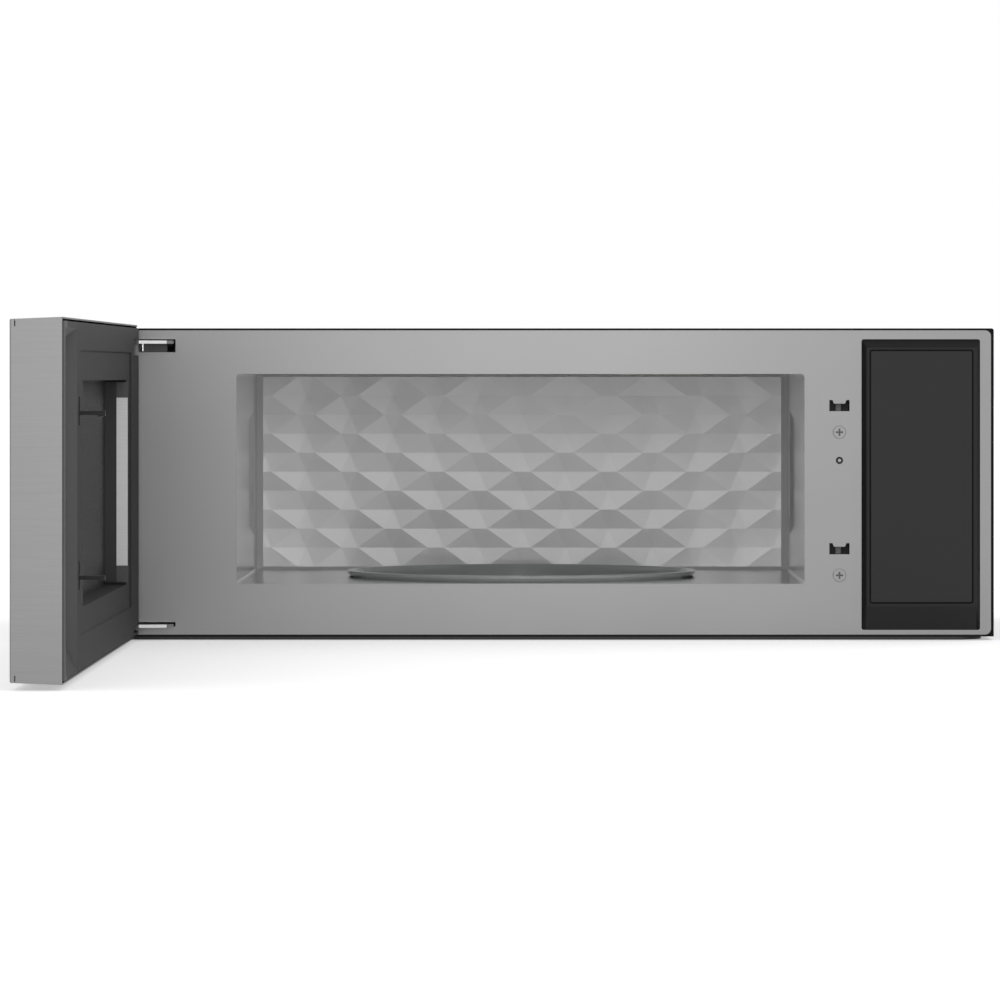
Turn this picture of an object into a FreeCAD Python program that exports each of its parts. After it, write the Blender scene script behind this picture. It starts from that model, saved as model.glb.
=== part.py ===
import FreeCAD, Part
import math
import os
from collections import Counter, namedtuple

# Low-profile over-the-range microwave with its hood, door open, in millimetres.
# X runs to the right, Y towards the wall and Z up. The origin is on the wall face,
# in the middle of the casing's bottom edge.

V = FreeCAD.Vector
RIGHT = V(1, 0, 0)
BACK = V(0, 1, 0)
UP = V(0, 0, 1)
THROUGH = 3.0               # how far a cutting tool runs past the face that it cuts

# Casing
SHEET = 1.0                 # painted casing sheet
PLATE_T = 1.5               # front plate
PLATE_MARGIN_X = 2.5        # casing edge that shows beside the front plate
PLATE_MARGIN_Z = 1.7        # casing edge that shows above and below it
PLATE_R = 5.0
CASING_R = 2.0              # casing's long upper edges, outside
RETURN = 9.0                # inward fold along the casing's front edge
PAN_LIP = 14.0              # upstand along the base pan's front edge
PAN_RIM = 2.6               # rim under the base pan, below the casing
PAN_R = 25.0

# Oven cavity and the spaces kept around it
CAV_W = 479.0
CAV_H = 177.0
CAV_D = 340.0
CAV_R = 3.0
LINER_T = 1.0
LEFT_SPACE = 118.2
RIGHT_SPACE = 157.8
FLOOR_Z = 44.5              # cavity floor above the casing's bottom
ROOF_SPACE = 36.5
REAR_SPACE = 85.3
LIP_W = 1.5                 # bead round the cavity mouth
LIP_H = 0.4

# Pads pressed into the cavity's side walls
PAD_FRONT = 71.0
PAD_LENGTH = 219.0
PAD_MARGIN = 33.0
PAD_DEPTH = 3.0
PAD_BEVEL = 9.0

# Diamond lattice pressed into the cavity's back panel
LATTICE_MARGIN_X = 5.5
LATTICE_MARGIN_Z = 2.8
LATTICE_COLUMNS = 12        # half diamonds across
LATTICE_ROWS = 10           # half diamonds up
LATTICE_DEPTH = 1.2
LATTICE_CREST = 7.5         # half the level crest between two hollows
BACK_T = 1.0
COVE = 5.0                  # slanted border of the back panel, ahead of the lattice

# Turntable
WELL_DEPTH = 20.0
WELL_CLEAR = 2.2            # between the tray's slanted wall and the well's edge
TRAY_T = 5.0
TRAY_RIM = 6.0              # rim above the cavity floor
TRAY_RIM_T = 2.2
TRAY_FOOT_R = 138.2         # underside radius where the slanted wall starts
ROLLER_R = 4.7
ROLLER_W = 8.0
ROLLER_CLEAR = 0.3
ROLLER_COUNT = 3
RING_IN = 42.2              # middle of the roller ring's band inside the tray's foot
RING_W = 8.0
RING_T = 3.6
AXLE_R = 1.5
RUN_FIT = 0.05              # radial clearance of a running pin
COUPLER_R = 13.0
COUPLER_ARM_L = 24.0
COUPLER_ARM_W = 7.0
SHAFT_R = 3.5
MOTOR_SIDE = 50.0
MOTOR_H = 17.0

# Door
DOOR_T = 39.0
DOOR_GAP = 1.5              # between the closed door and the front plate
DOOR_DROP = 2.5             # door's lower edge above the casing's bottom
DOOR_RISE = 1.0             # door's upper edge above the casing's top
SKIN_T = 1.2
SKIN_DEPTH = 37.4           # how far the skin folds back round the edges
SKIN_FLARE = 1.5            # spread of its upper and lower folds towards the oven
NOTCH_IN = 3.3              # corner notches of the skin's end, from the outer face
NOTCH_W = 0.9
NOTCH_H = 5.2
FRAME_T = 2.5
FIT = 0.4                   # seam round a cover, glass or panel

# Control housing on the front plate, and the recess in the door that takes it
HOUSING_W = 100.0
HOUSING_EDGE = 9.2          # from the front plate's right edge
HOUSING_BELOW = 3.9         # from the front plate's lower edge
HOUSING_ABOVE = 7.5         # from the front plate's upper edge
HOUSING_H = 8.0
HIP_LEFT = 3.8
HIP_RIGHT = 3.7
HIP_TOP = 6.3
HIP_BOTTOM = 20.0
HIP_ROUND = 0.8
HOUSING_R = 2.0
HOUSING_T = 2.0
COVER_T = 2.0

# Latch column between the cavity mouth and the control housing
LATCH_OFFSET = 18.6         # left of the control housing
SLOT_W = 17.0
SLOT_H = 9.4
TONGUE_W = 9.3              # tongue left standing at the middle of a slot's upper edge
TONGUE_H = 3.0
TONGUE_SLANT = 1.2
SLOT_BELOW_TOP = 26.7       # upper slot's middle below the cavity's top
SLOT_ABOVE_FLOOR = 29.6     # lower slot's middle above the cavity's floor
SCREW_DROP = 22.4           # cross-head screw's middle below its slot
SCREW_HEAD_R = 5.5
SCREW_HEAD_H = 1.1
SCREW_R = 2.0
SENSOR_DROP = 46.2          # sensor pin below the upper slot
SENSOR_R = 1.4
SENSOR_BUSH_R = 3.0
SENSOR_TRAVEL = 1.2
HOOK_REACH = 19.0
HOOK_W = 7.0
HOOK_T = 3.0
HOOK_BARB = 1.2
HOOK_SLIT = 21.0

# Hinges
LEAF_T = 2.6
LEAF_TOP = 10.4             # upper leaf's top face below the casing's top
LEAF_BOTTOM = 8.4           # lower leaf's underside above the casing's bottom
LEAF_W = 30.0
LEAF_EDGE = 35.0            # leaf's left end from the front plate's left edge
FLANGE_H = 6.6              # lower bracket's flange below its leaf
FLANGE_TAIL = 12.0          # upper bracket's flange below its slot
FLANGE_SCREW = 3.3          # hinge screws above a flange's lower edge
FLANGE_SCREWS_X = (5.0, 19.0)
LEAF_SLOT = 1.2             # slot in the front plate above a leaf and past its right end
LEAF_SLOT_UNDER = 7.2       # slot below the upper leaf
PIN_R = 3.0
EYE_R = 8.0
PIN_SEAT = 7.0

# Window in the door
WELL_IN_X = 20.8            # window well's edge inside the cavity mouth's edge
WELL_IN_Z = 4.7
WELL_IN = 19.0
SEAL_OUT_X = 17.5           # seal zone's edge outside the cavity mouth's edge
SEAL_BELOW = 15.0
SEAL_ABOVE = 17.0
SEAL_SLANT = 1.0            # slope round the seal zone
SEAL_DEEP = 1.5
CHOKE_T = 1.5
SCREEN_T = 0.8
SCREEN_FLANGE = 18.8
WINDOW_T = 1.2
GLASS_T = 3.0
GLASS_LEDGE = 6.0

# Hood parts under and behind the cavity
FILTER_W = 140.0
FILTER_D = 220.0
FILTER_T = 8.0
FILTER_X = 160.0            # filter's middle from the casing's middle
FILTER_FRONT = 100.0        # filter's front edge behind the casing's front
FILTER_BORDER = 8.0
FILTER_SLATS = 9
LENS_W = 64.0
LENS_D = 42.0
LENS_T = 2.5
LENS_LEDGE = 4.0
LAMP_X = 200.0
LAMP_FRONT = 36.0           # lens behind the casing's front
BULB_R = 7.0
SOCKET_L = 14.0
COLLAR_H = 24.0
EXHAUST_W = 254.0
FLAP_T = 1.2
FLAP_PIN_R = 1.5
FLAP_DROP = 6.0             # flap's axis below the roof
FLAP_OFFSET = 5.0           # flap's axis from the collar's rear wall
SCROLL_D = 74.0
SCROLL_GAP = 6.0            # between the blower wheel and its scroll
BLOWER_DROP = 109.0         # blower's axis below the roof
BLOWER_SHAFT_R = 4.0
BLOWER_MOTOR_W = 72.0
BLOWER_MOTOR_R = 19.0
BLADE_COUNT = 20
WHEEL_RIM = 3.6

# Wall and cabinet fixings
HOOK_SLOT_W = 40.0
HOOK_SLOT_H = 6.0
HOOK_SLOT_Z = 18.0
HOOK_SLOT_X = 250.0
BOLT_SPACING = 304.8
BOLT_FRONT = 90.0           # bolts behind the casing's front
BOLT_HOLE_R = 3.6
NUT_R = 6.4                 # nut's corner radius
NUT_H = 5.6
CORD_HOLE_R = 9.0
CORD_SIDE = 78.5            # cord bushing from the casing's right side
CORD_DROP = 30.0            # cord bushing below the casing's top
BUSH_FLANGE = 3.0

# Microwave feed, lamp and electrical parts
BOARD_LEDGE = 6.5
BOARD_T = 1.6
BOARD_POST = 1.6            # board's posts on the front plate
RELAY_W = 16.0
RELAY_H = 19.0
RELAY_D = 12.0
RELAY_COUNT = 4
FEED_W = 60.0
FEED_D = 50.0
FEED_RIGHT = 120.0          # feed opening's middle from the cavity's right wall
MICA_T = 0.6
MICA_EDGE = 8.0
GUIDE_W = 82.0
GUIDE_H = 33.0
GUIDE_T = 1.0
GUIDE_EDGE = 10.0           # waveguide past the feed opening
MAGNETRON_W = 80.0
MAGNETRON_D = 66.0
MAGNETRON_H = 78.0
MAGNETRON_OUT = 62.0        # magnetron's middle from the cavity's right wall
MAGNETRON_CORE_R = 20.0
MAGNETRON_YOKE_T = 2.0
FIN_COUNT = 8
FIN_T = 1.0
ANTENNA_R = 7.0
ANTENNA_H = 22.0
CORE_W = 100.0
CORE_D = 70.0
CORE_H = 84.0
CORE_LIMB = 32.0
CORE_WINDOW_W = 17.0
CORE_WINDOW_H = 50.0
CORE_FRONT = 34.0           # transformer behind the front plate
CORE_OUT = 89.0             # transformer's middle from the cavity's right wall
COIL_BULGE = 12.0
CAN_W = 55.0
CAN_D = 34.0
CAN_H = 86.0
CAN_GAP = 10.0              # capacitor behind the transformer
TERMINAL_R = 3.0
TERMINAL_H = 8.0
FAN_R = 52.0
FAN_HUB_R = 13.0
FAN_HUB_H = 14.0
FAN_BLADES = 5
FAN_CHORD = 24.0
FAN_BLADE_T = 1.6
FAN_PITCH = 28.0
FAN_CLEAR = 3.0
FAN_MOTOR_R = 22.0
FAN_MOTOR_H = 30.0
FAN_SHAFT_R = 2.5
FAN_STRUT_W = 10.0
FAN_STRUT_T = 3.0
FAN_Z = 125.0
OVEN_LENS_R = 16.0
OVEN_LENS_T = 2.0
OVEN_LAMP_IN = 90.0         # cavity lamp's middle from the cavity's left wall
BRACKET_W = 25.0
BRACKET_D = 24.0
BRACKET_END = 16.0          # latch bracket past the slots
LEVER_W = 4.4
LEVER_H = 6.0
LEVER_T = 1.5
LEVER_TRAVEL = 0.9
SWITCH_W = 10.0
SWITCH_D = 16.0
SWITCH_H = 27.0
CASING_SCREW_R = 3.5
CASING_SCREW_H = 1.6
CASING_SCREW_EDGE = 14.0
COUPLER_CAP = 2.0
COVER_INSET = 2.5           # housing's rim round the cover's seam
COVER_GAP = 1.3
COVER_R = 1.0
SEAM_DEEP = 5.0
RECESS_RISE = 3.0           # extra room above the housing in the door's recess
RECESS_SIDE = 1.5
FLANGE_T = 1.6
LEAF_NECK = 8.0             # straight part of the leaf's right edge
LEAF_CORNER = 5.0           # slanted part of that edge
LEAF_REACH = 20.0           # leaf's front edge ahead of the front plate
FLANGE_SHORT = 6.0          # flange's right end inside the leaf's
PLATE_SKIN = 0.4            # left of the front plate ahead of a hinge screw
STOP_R = 1.3                # stop pin under the upper leaf
STOP_L = 6.3
STOP_X = 4.0                # stop pin from the leaf's left end
STOP_Y = 10.0               # and ahead of the front plate
POCKET_CLEAR = 1.2
HINGE_SCREW_R = 2.6
HINGE_SCREW_H = 1.1
PIN_HEAD_R = 5.0
PIN_HEAD_H = 1.5
HOOK_CLEAR = 0.5            # hook's barb above the slot's lower edge
BARB_L = 5.0
BAR_T = 3.0
GUIDE_L = 60.0              # channel that guides the latch bar
STRIP_MARGIN = 2.0          # screen's end flange inside the window well's ends
TOUCH_MARGIN = 12.0

# Places that follow from the sizes above
WIDTH = 2 * SHEET + LEFT_SPACE + 2 * LINER_T + CAV_W + RIGHT_SPACE
HEIGHT = FLOOR_Z + CAV_H + LINER_T + ROOF_SPACE + SHEET
PANEL_T = LATTICE_DEPTH + BACK_T
DEPTH = PLATE_T + CAV_D + PANEL_T + REAR_SPACE + SHEET
HALF = WIDTH / 2
INNER = HALF - SHEET
ROOF = HEIGHT - SHEET
FRONT = -DEPTH
PLATE_BACK = FRONT + PLATE_T
REAR = -SHEET
PLATE_X = HALF - PLATE_MARGIN_X
PLATE_Z0 = PLATE_MARGIN_Z
PLATE_Z1 = HEIGHT - PLATE_MARGIN_Z
CAV_X0 = -INNER + LEFT_SPACE + LINER_T
CAV_X1 = CAV_X0 + CAV_W
CAV_X = (CAV_X0 + CAV_X1) / 2
CAV_TOP = FLOOR_Z + CAV_H
CAV_BACK = PLATE_BACK + CAV_D
PANEL_BACK = CAV_BACK + PANEL_T
TRAY_Y = (PLATE_BACK + CAV_BACK) / 2
WELL_Z = FLOOR_Z - WELL_DEPTH
TRAY_Z = WELL_Z + 2 * (ROLLER_R + ROLLER_CLEAR)
TRAY_TOP = FLOOR_Z + TRAY_RIM
TRAY_UNDER = TRAY_TOP - TRAY_RIM_T
WELL_R = TRAY_FOOT_R + FLOOR_Z - TRAY_Z + WELL_CLEAR
TRAY_R = TRAY_FOOT_R + TRAY_UNDER - TRAY_Z
RING_R = TRAY_FOOT_R - RING_IN
HOUSING_X1 = PLATE_X - HOUSING_EDGE
HOUSING_X0 = HOUSING_X1 - HOUSING_W
HOUSING_Z0 = PLATE_Z0 + HOUSING_BELOW
HOUSING_Z1 = PLATE_Z1 - HOUSING_ABOVE
LATCH_X = HOUSING_X0 - LATCH_OFFSET
SLOT_ZS = (CAV_TOP - SLOT_BELOW_TOP, FLOOR_Z + SLOT_ABOVE_FLOOR)
SENSOR_Z = SLOT_ZS[0] - SENSOR_DROP
DOOR_IN = FRONT - DOOR_GAP
DOOR_OUT = DOOR_IN - DOOR_T
DOOR_Z0 = DOOR_DROP
DOOR_Z1 = HEIGHT + DOOR_RISE
PIVOT_X = -HALF + DOOR_T / 2
PIVOT_Y = DOOR_IN - DOOR_T / 2
UPPER_LEAF = HEIGHT - LEAF_TOP - LEAF_T
UPPER_SLOT = UPPER_LEAF - LEAF_SLOT_UNDER
Hinge = namedtuple("Hinge", "leaf slot flange seat")
HINGES = {"upper": Hinge(UPPER_LEAF, UPPER_SLOT, UPPER_SLOT - FLANGE_TAIL, PLATE_BACK),
          "lower": Hinge(LEAF_BOTTOM, LEAF_BOTTOM, LEAF_BOTTOM - FLANGE_H, PLATE_BACK + SHEET)}
SCROLL_Y0 = REAR - SCROLL_D
BLOWER_Y = REAR - SCROLL_D / 2
BLOWER_Z = ROOF - BLOWER_DROP
WHEEL_R = SCROLL_D / 2 - SHEET - SCROLL_GAP
COLLAR_Z = ROOF - COLLAR_H
FLAP_Y = REAR - SHEET - FLAP_OFFSET
FLAP_Z = ROOF - FLAP_DROP
FILTER_Y0 = FRONT + FILTER_FRONT
LENS_Y0 = FRONT + LAMP_FRONT
BOLT_Y = FRONT + BOLT_FRONT
CORD_X = INNER - CORD_SIDE
CORD_Z = HEIGHT - CORD_DROP
PANEL_RECT = (HOUSING_X0 + HIP_LEFT, HOUSING_Z0 + HIP_BOTTOM, HOUSING_X1 - HIP_RIGHT, HOUSING_Z1 - HIP_TOP)
FEED_X = CAV_X1 - FEED_RIGHT
GUIDE_Z = CAV_TOP + LINER_T
GUIDE_X0 = FEED_X - FEED_W / 2 - GUIDE_EDGE
MAGNETRON_X = CAV_X1 + LINER_T + MAGNETRON_OUT
GUIDE_X1 = MAGNETRON_X + MAGNETRON_W / 2
OVEN_LAMP_X = CAV_X0 + OVEN_LAMP_IN
OVEN_LAMP_Y = TRAY_Y
CORE_X = CAV_X1 + LINER_T + CORE_OUT
CORE_Y0 = PLATE_BACK + CORE_FRONT
CAN_Y0 = CORE_Y0 + CORE_D + COIL_BULGE + CAN_GAP
FAN_X = (CAV_X1 + LINER_T + INNER) / 2
FAN_Y = PANEL_BACK - SHEET
ROLLER_Z = WELL_Z + ROLLER_R + ROLLER_CLEAR
ROLLER_IN = RING_R + RING_W / 2 + ROLLER_CLEAR
BRACKET_BACK = PLATE_BACK + BRACKET_D
MOUTH = (CAV_X0, FLOOR_Z, CAV_X1, CAV_TOP)
WINDOW = (CAV_X0 + WELL_IN_X, FLOOR_Z + WELL_IN_Z, CAV_X1 - WELL_IN_X, CAV_TOP - WELL_IN_Z)
SEAL = (CAV_X0 - SEAL_OUT_X, FLOOR_Z - SEAL_BELOW, CAV_X1 + SEAL_OUT_X, CAV_TOP + SEAL_ABOVE)
TOUCH = (HOUSING_X0, DOOR_Z0 + TOUCH_MARGIN, HOUSING_X1, DOOR_Z1 - TOUCH_MARGIN)
RECESS_DEEP = HOUSING_H - DOOR_GAP + RECESS_SIDE
LEAF_X0 = -PLATE_X + LEAF_EDGE
LEAF_X1 = LEAF_X0 + LEAF_W
SCREEN_Y = DOOR_IN - WELL_IN
BAR_Y1 = DOOR_IN - FRAME_T - ROLLER_CLEAR
BAR_Y0 = BAR_Y1 - BAR_T


def box(x0, y0, z0, x1, y1, z1):
    return Part.makeBox(x1 - x0, y1 - y0, z1 - z0, V(x0, y0, z0))


def rod(x, y, z, radius, length, axis):
    return Part.makeCylinder(radius, length, V(x, y, z), axis)


def round_edges(shape, radius, axis):
    """Round the straight edges of a shape that run along an axis."""
    edges = [e for e in shape.Edges if abs(e.tangentAt(e.FirstParameter).dot(axis)) > 0.999]
    return shape.makeFillet(radius, edges)


def prismoid(first, second):
    """Solid between two four-cornered outlines."""
    outlines = [Part.makePolygon(corners + corners[:1]) for corners in (first, second)]
    return Part.makeLoft(outlines, True, True)


def upright(x0, z0, x1, z1, y):
    """Corners of an upright rectangle that faces the front."""
    return [V(x0, y, z0), V(x1, y, z0), V(x1, y, z1), V(x0, y, z1)]


def sideways(y0, z0, y1, z1, x):
    """Corners of an upright rectangle that faces the side."""
    return [V(x, y0, z0), V(x, y1, z0), V(x, y1, z1), V(x, y0, z1)]


def turned(points, x, y):
    """Solid of revolution about an upright axis, from radius and height pairs."""
    outline = Part.makePolygon([V(r, 0, z) for r, z in points + points[:1]])
    solid = Part.Face(outline).revolve(V(0, 0, 0), UP, 360)
    solid.translate(V(x, y, 0))
    return solid


def one(shape):
    """The single solid of a cleaned boolean result."""
    return shape.removeSplitter().Solids[0]


def group(solids):
    return Part.makeCompound(solids)


def inset(rect, by):
    """A rectangle of two corners, drawn in by an amount on each side."""
    return rect[0] + by, rect[1] + by, rect[2] - by, rect[3] - by


def panel_box(rect, y0, y1):
    """Box over an upright rectangle, from one depth to another."""
    return box(rect[0], y0, rect[1], rect[2], y1, rect[3])


def hinge_screw_places(hinge):
    """Middle of each screw of a hinge bracket, across and up."""
    return [(LEAF_X0 + along, hinge.flange + FLANGE_SCREW) for along in FLANGE_SCREWS_X]


def leaf_slot(hinge):
    """Slot through which a hinge's leaf comes out of the front."""
    return box(LEAF_X0 - RUN_FIT, FRONT - THROUGH, hinge.slot,
               LEAF_X1 + LEAF_SLOT, hinge.seat + THROUGH, hinge.leaf + LEAF_T + LEAF_SLOT)


def latch_slot(z):
    """Slot for a door hook, with a tongue left standing at the middle of its upper edge."""
    y, top, half = FRONT - THROUGH, z + SLOT_H / 2, TONGUE_W / 2
    slot = box(LATCH_X - SLOT_W / 2, y, z - SLOT_H / 2, LATCH_X + SLOT_W / 2, PLATE_BACK + THROUGH, top)
    corners = [V(LATCH_X - half - TONGUE_SLANT, y, top), V(LATCH_X - half, y, top - TONGUE_H),
               V(LATCH_X + half, y, top - TONGUE_H), V(LATCH_X + half + TONGUE_SLANT, y, top)]
    tongue = Part.Face(Part.makePolygon(corners + corners[:1])).extrude(BACK * (PLATE_T + 2 * THROUGH))
    return slot.cut(tongue)


def front_plate():
    plate = round_edges(box(-PLATE_X, FRONT, PLATE_Z0, PLATE_X, PLATE_BACK, PLATE_Z1), PLATE_R, BACK)
    bead = round_edges(panel_box(inset(MOUTH, -LIP_W), FRONT - LIP_H, PLATE_BACK), CAV_R + LIP_W, BACK)
    cuts = [round_edges(panel_box(MOUTH, FRONT - THROUGH, PLATE_BACK + THROUGH), CAV_R, BACK)]
    cuts.append(panel_box(inset(PANEL_RECT, 2 * BOARD_LEDGE), FRONT - THROUGH, PLATE_BACK + THROUGH))
    cuts += [latch_slot(z) for z in SLOT_ZS]
    holes = [(LATCH_X, z - SCREW_DROP, SCREW_R) for z in SLOT_ZS]
    holes.append((LATCH_X, SENSOR_Z, SENSOR_BUSH_R))
    for x, z, radius in holes:
        cuts.append(rod(x, FRONT - THROUGH, z, radius + RUN_FIT, PLATE_T + 2 * THROUGH, BACK))
    for hinge in HINGES.values():
        cuts.append(leaf_slot(hinge))
        cuts += [rod(x, FRONT + PLATE_SKIN, z, SCREW_R, PLATE_T, BACK) for x, z in hinge_screw_places(hinge)]
    return one(plate.fuse(bead).cut(cuts))


def outer_wrap():
    wrap = box(-HALF, PLATE_BACK, 0, HALF, 0, HEIGHT)
    sides = [e for e in wrap.Edges if e.BoundBox.ZMin > ROOF and e.BoundBox.XLength < RETURN]
    wrap = wrap.makeFillet(CASING_R, sides)
    room = box(-INNER, PLATE_BACK + SHEET, -THROUGH, INNER, THROUGH, ROOF)
    face = box(-HALF + RETURN, PLATE_BACK - THROUGH, -THROUGH, HALF - RETURN, 0, HEIGHT - RETURN)
    cuts = [room, face, box(-EXHAUST_W / 2, SCROLL_Y0 + SHEET, COLLAR_Z,
                            EXHAUST_W / 2, REAR - SHEET, HEIGHT + THROUGH)]
    for x in (-BOLT_SPACING / 2, BOLT_SPACING / 2):
        cuts.append(rod(x, BOLT_Y, COLLAR_Z, BOLT_HOLE_R, 2 * COLLAR_H, UP))
    return one(wrap.cut(cuts))


def rear_panel():
    panel = box(-INNER, REAR, 0, INNER, 0, ROOF)
    cuts = [rod(CORD_X, REAR - THROUGH, CORD_Z, CORD_HOLE_R + RUN_FIT, SHEET + 2 * THROUGH, BACK)]
    for x in (-HOOK_SLOT_X, 0, HOOK_SLOT_X):
        cuts.append(box(x - HOOK_SLOT_W / 2, REAR - THROUGH, HOOK_SLOT_Z,
                        x + HOOK_SLOT_W / 2, THROUGH, HOOK_SLOT_Z + HOOK_SLOT_H))
    return one(panel.cut(cuts))


def base_pan():
    pan = box(-INNER, PLATE_BACK + SHEET, 0, INNER, REAR, SHEET)
    lip = box(-HALF + RETURN, PLATE_BACK, 0, HALF - RETURN, PLATE_BACK + SHEET, PAN_LIP)
    skirt = box(-HALF + RETURN, PLATE_BACK, -PAN_RIM, HALF - RETURN, REAR, 0)
    hollow = box(-HALF + RETURN + SHEET, PLATE_BACK + SHEET, -PAN_RIM, HALF - RETURN - SHEET, REAR - SHEET, 0)
    skirt = round_edges(skirt, PAN_R, UP).cut(round_edges(hollow, PAN_R - SHEET, UP))
    hinge = HINGES["lower"]
    cuts = [rod(x, FRONT, z, SCREW_R, 2 * PLATE_T + SHEET, BACK) for x, z in hinge_screw_places(hinge)]
    cuts.append(leaf_slot(hinge))
    for side in (-1, 1):
        rim = FILTER_W / 2 - FILTER_BORDER
        cuts.append(box(side * FILTER_X - rim, FILTER_Y0 + FILTER_BORDER, -THROUGH,
                        side * FILTER_X + rim, FILTER_Y0 + FILTER_D - FILTER_BORDER, SHEET + THROUGH))
        rim = LENS_W / 2 - LENS_LEDGE
        cuts.append(box(side * LAMP_X - rim, LENS_Y0 + LENS_LEDGE, -THROUGH,
                        side * LAMP_X + rim, LENS_Y0 + LENS_D - LENS_LEDGE, SHEET + THROUGH))
    return one(pan.fuse([lip, skirt]).cut(cuts))


def side_pad(side, grow):
    """Pad pressed out of a cavity side wall; grow adds the sheet's thickness."""
    wall = CAV_X0 if side < 0 else CAV_X1
    y0, y1 = FRONT + PAD_FRONT, FRONT + PAD_FRONT + PAD_LENGTH
    z0, z1 = FLOOR_Z + PAD_MARGIN, CAV_TOP - PAD_MARGIN
    mouth = sideways(y0 - grow, z0 - grow, y1 + grow, z1 + grow, wall)
    b = PAD_BEVEL - grow
    bottom = sideways(y0 + b, z0 + b, y1 - b, z1 - b, wall + side * (PAD_DEPTH + grow))
    return prismoid(mouth, bottom)


def cavity_liner():
    shell = round_edges(panel_box(inset(MOUTH, -LINER_T), PLATE_BACK, CAV_BACK), CAV_R + LINER_T, BACK)
    room = round_edges(panel_box(MOUTH, PLATE_BACK - THROUGH, CAV_BACK + THROUGH), CAV_R, BACK)
    cup = rod(CAV_X, TRAY_Y, WELL_Z - LINER_T, WELL_R + LINER_T, WELL_DEPTH + LINER_T / 2, UP)
    well = rod(CAV_X, TRAY_Y, WELL_Z, WELL_R, WELL_DEPTH + THROUGH, UP)
    cuts = [room, well, side_pad(-1, 0), side_pad(1, 0)]
    cuts.append(rod(CAV_X, TRAY_Y, WELL_Z - THROUGH, SHAFT_R + LINER_T, 2 * THROUGH, UP))
    cuts.append(box(FEED_X - FEED_W / 2, TRAY_Y - FEED_D / 2, CAV_TOP - THROUGH,
                    FEED_X + FEED_W / 2, TRAY_Y + FEED_D / 2, CAV_TOP + THROUGH))
    cuts.append(rod(OVEN_LAMP_X, OVEN_LAMP_Y, CAV_TOP - THROUGH, OVEN_LENS_R - LENS_LEDGE, 2 * THROUGH, UP))
    return one(shell.fuse([cup, side_pad(-1, LINER_T), side_pad(1, LINER_T)]).cut(cuts))


def lattice_cells():
    """Corners of the faces of six-sided hollows, each falling from a level rim to one deepest point."""
    x0, z0 = CAV_X0 + LATTICE_MARGIN_X, FLOOR_Z + LATTICE_MARGIN_Z
    step_x = (CAV_W - 2 * LATTICE_MARGIN_X) / LATTICE_COLUMNS
    step_z = (CAV_H - 2 * LATTICE_MARGIN_Z) / LATTICE_ROWS
    reach = step_x - LATTICE_CREST

    def point(i, along, deep, j):
        return round(x0 + i * step_x + along, 6), round(CAV_BACK + deep, 6), round(z0 + j * step_z, 6)

    cells = []
    for i in range(LATTICE_COLUMNS + 1):
        for j in range(i % 2, LATTICE_ROWS + 1, 2):
            for side, rise in ((-1, -1), (-1, 1), (1, -1), (1, 1)):
                if 0 <= i + side <= LATTICE_COLUMNS and 0 <= j + rise <= LATTICE_ROWS:
                    middle = point(i, 0, LATTICE_DEPTH, j)
                    tip, crest = point(i, side * LATTICE_CREST, 0, j + rise), point(i, 0, 0, j + rise)
                    cells.append([middle, tip, crest])
                    cells.append([middle, point(i, side * reach, 0, j), tip])
    return cells


def lattice_sheet():
    """Pressed sheet between the hollows' faces and the same faces moved back."""
    def panel(corners):
        return Part.Face(Part.makePolygon(corners + corners[:1]))

    cells = lattice_cells()
    back = BACK * BACK_T
    faces = []
    for shift in (V(0, 0, 0), back):
        faces += [panel([V(*corner) + shift for corner in cell]) for cell in cells]
    edges = [frozenset(pair) for cell in cells for pair in zip(cell, cell[1:] + cell[:1])]
    uses = Counter(edges)
    for first, second in [edge for edge in edges if uses[edge] == 1]:
        faces.append(panel([V(*first), V(*second), V(*second) + back, V(*first) + back]))
    solid = Part.Solid(Part.makeShell(faces))
    if solid.Volume < 0:
        solid.reverse()
    return solid


def cavity_back_panel():
    rim = panel_box(inset(MOUTH, -LINER_T), CAV_BACK, PANEL_BACK)
    field = (CAV_X0 + LATTICE_MARGIN_X, FLOOR_Z + LATTICE_MARGIN_Z,
             CAV_X1 - LATTICE_MARGIN_X, CAV_TOP - LATTICE_MARGIN_Z)
    cove = round_edges(panel_box(MOUTH, CAV_BACK - COVE, CAV_BACK), CAV_R, BACK)
    cove = cove.cut(prismoid(upright(*MOUTH, CAV_BACK - COVE), upright(*field, CAV_BACK)))
    rim = rim.cut(panel_box(field, CAV_BACK - THROUGH, PANEL_BACK + THROUGH))
    return one(rim.fuse([cove, lattice_sheet()]))


def waveguide_cover():
    edge_x, edge_y = FEED_W / 2 + MICA_EDGE, FEED_D / 2 + MICA_EDGE
    return box(FEED_X - edge_x, TRAY_Y - edge_y, CAV_TOP - MICA_T, FEED_X + edge_x, TRAY_Y + edge_y, CAV_TOP)


def waveguide():
    y0, y1 = TRAY_Y - GUIDE_W / 2, TRAY_Y + GUIDE_W / 2
    duct = box(GUIDE_X0, y0, GUIDE_Z, GUIDE_X1, y1, GUIDE_Z + GUIDE_H)
    room = box(GUIDE_X0 + GUIDE_T, y0 + GUIDE_T, GUIDE_Z + GUIDE_T,
               GUIDE_X1 - GUIDE_T, y1 - GUIDE_T, GUIDE_Z + GUIDE_H - GUIDE_T)
    feed = box(FEED_X - FEED_W / 2, TRAY_Y - FEED_D / 2, GUIDE_Z - THROUGH,
               FEED_X + FEED_W / 2, TRAY_Y + FEED_D / 2, GUIDE_Z + THROUGH)
    hole = rod(MAGNETRON_X, TRAY_Y, GUIDE_Z - THROUGH, ANTENNA_R + FIT, 2 * THROUGH, UP)
    return one(duct.cut([room, feed, hole]))


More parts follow.
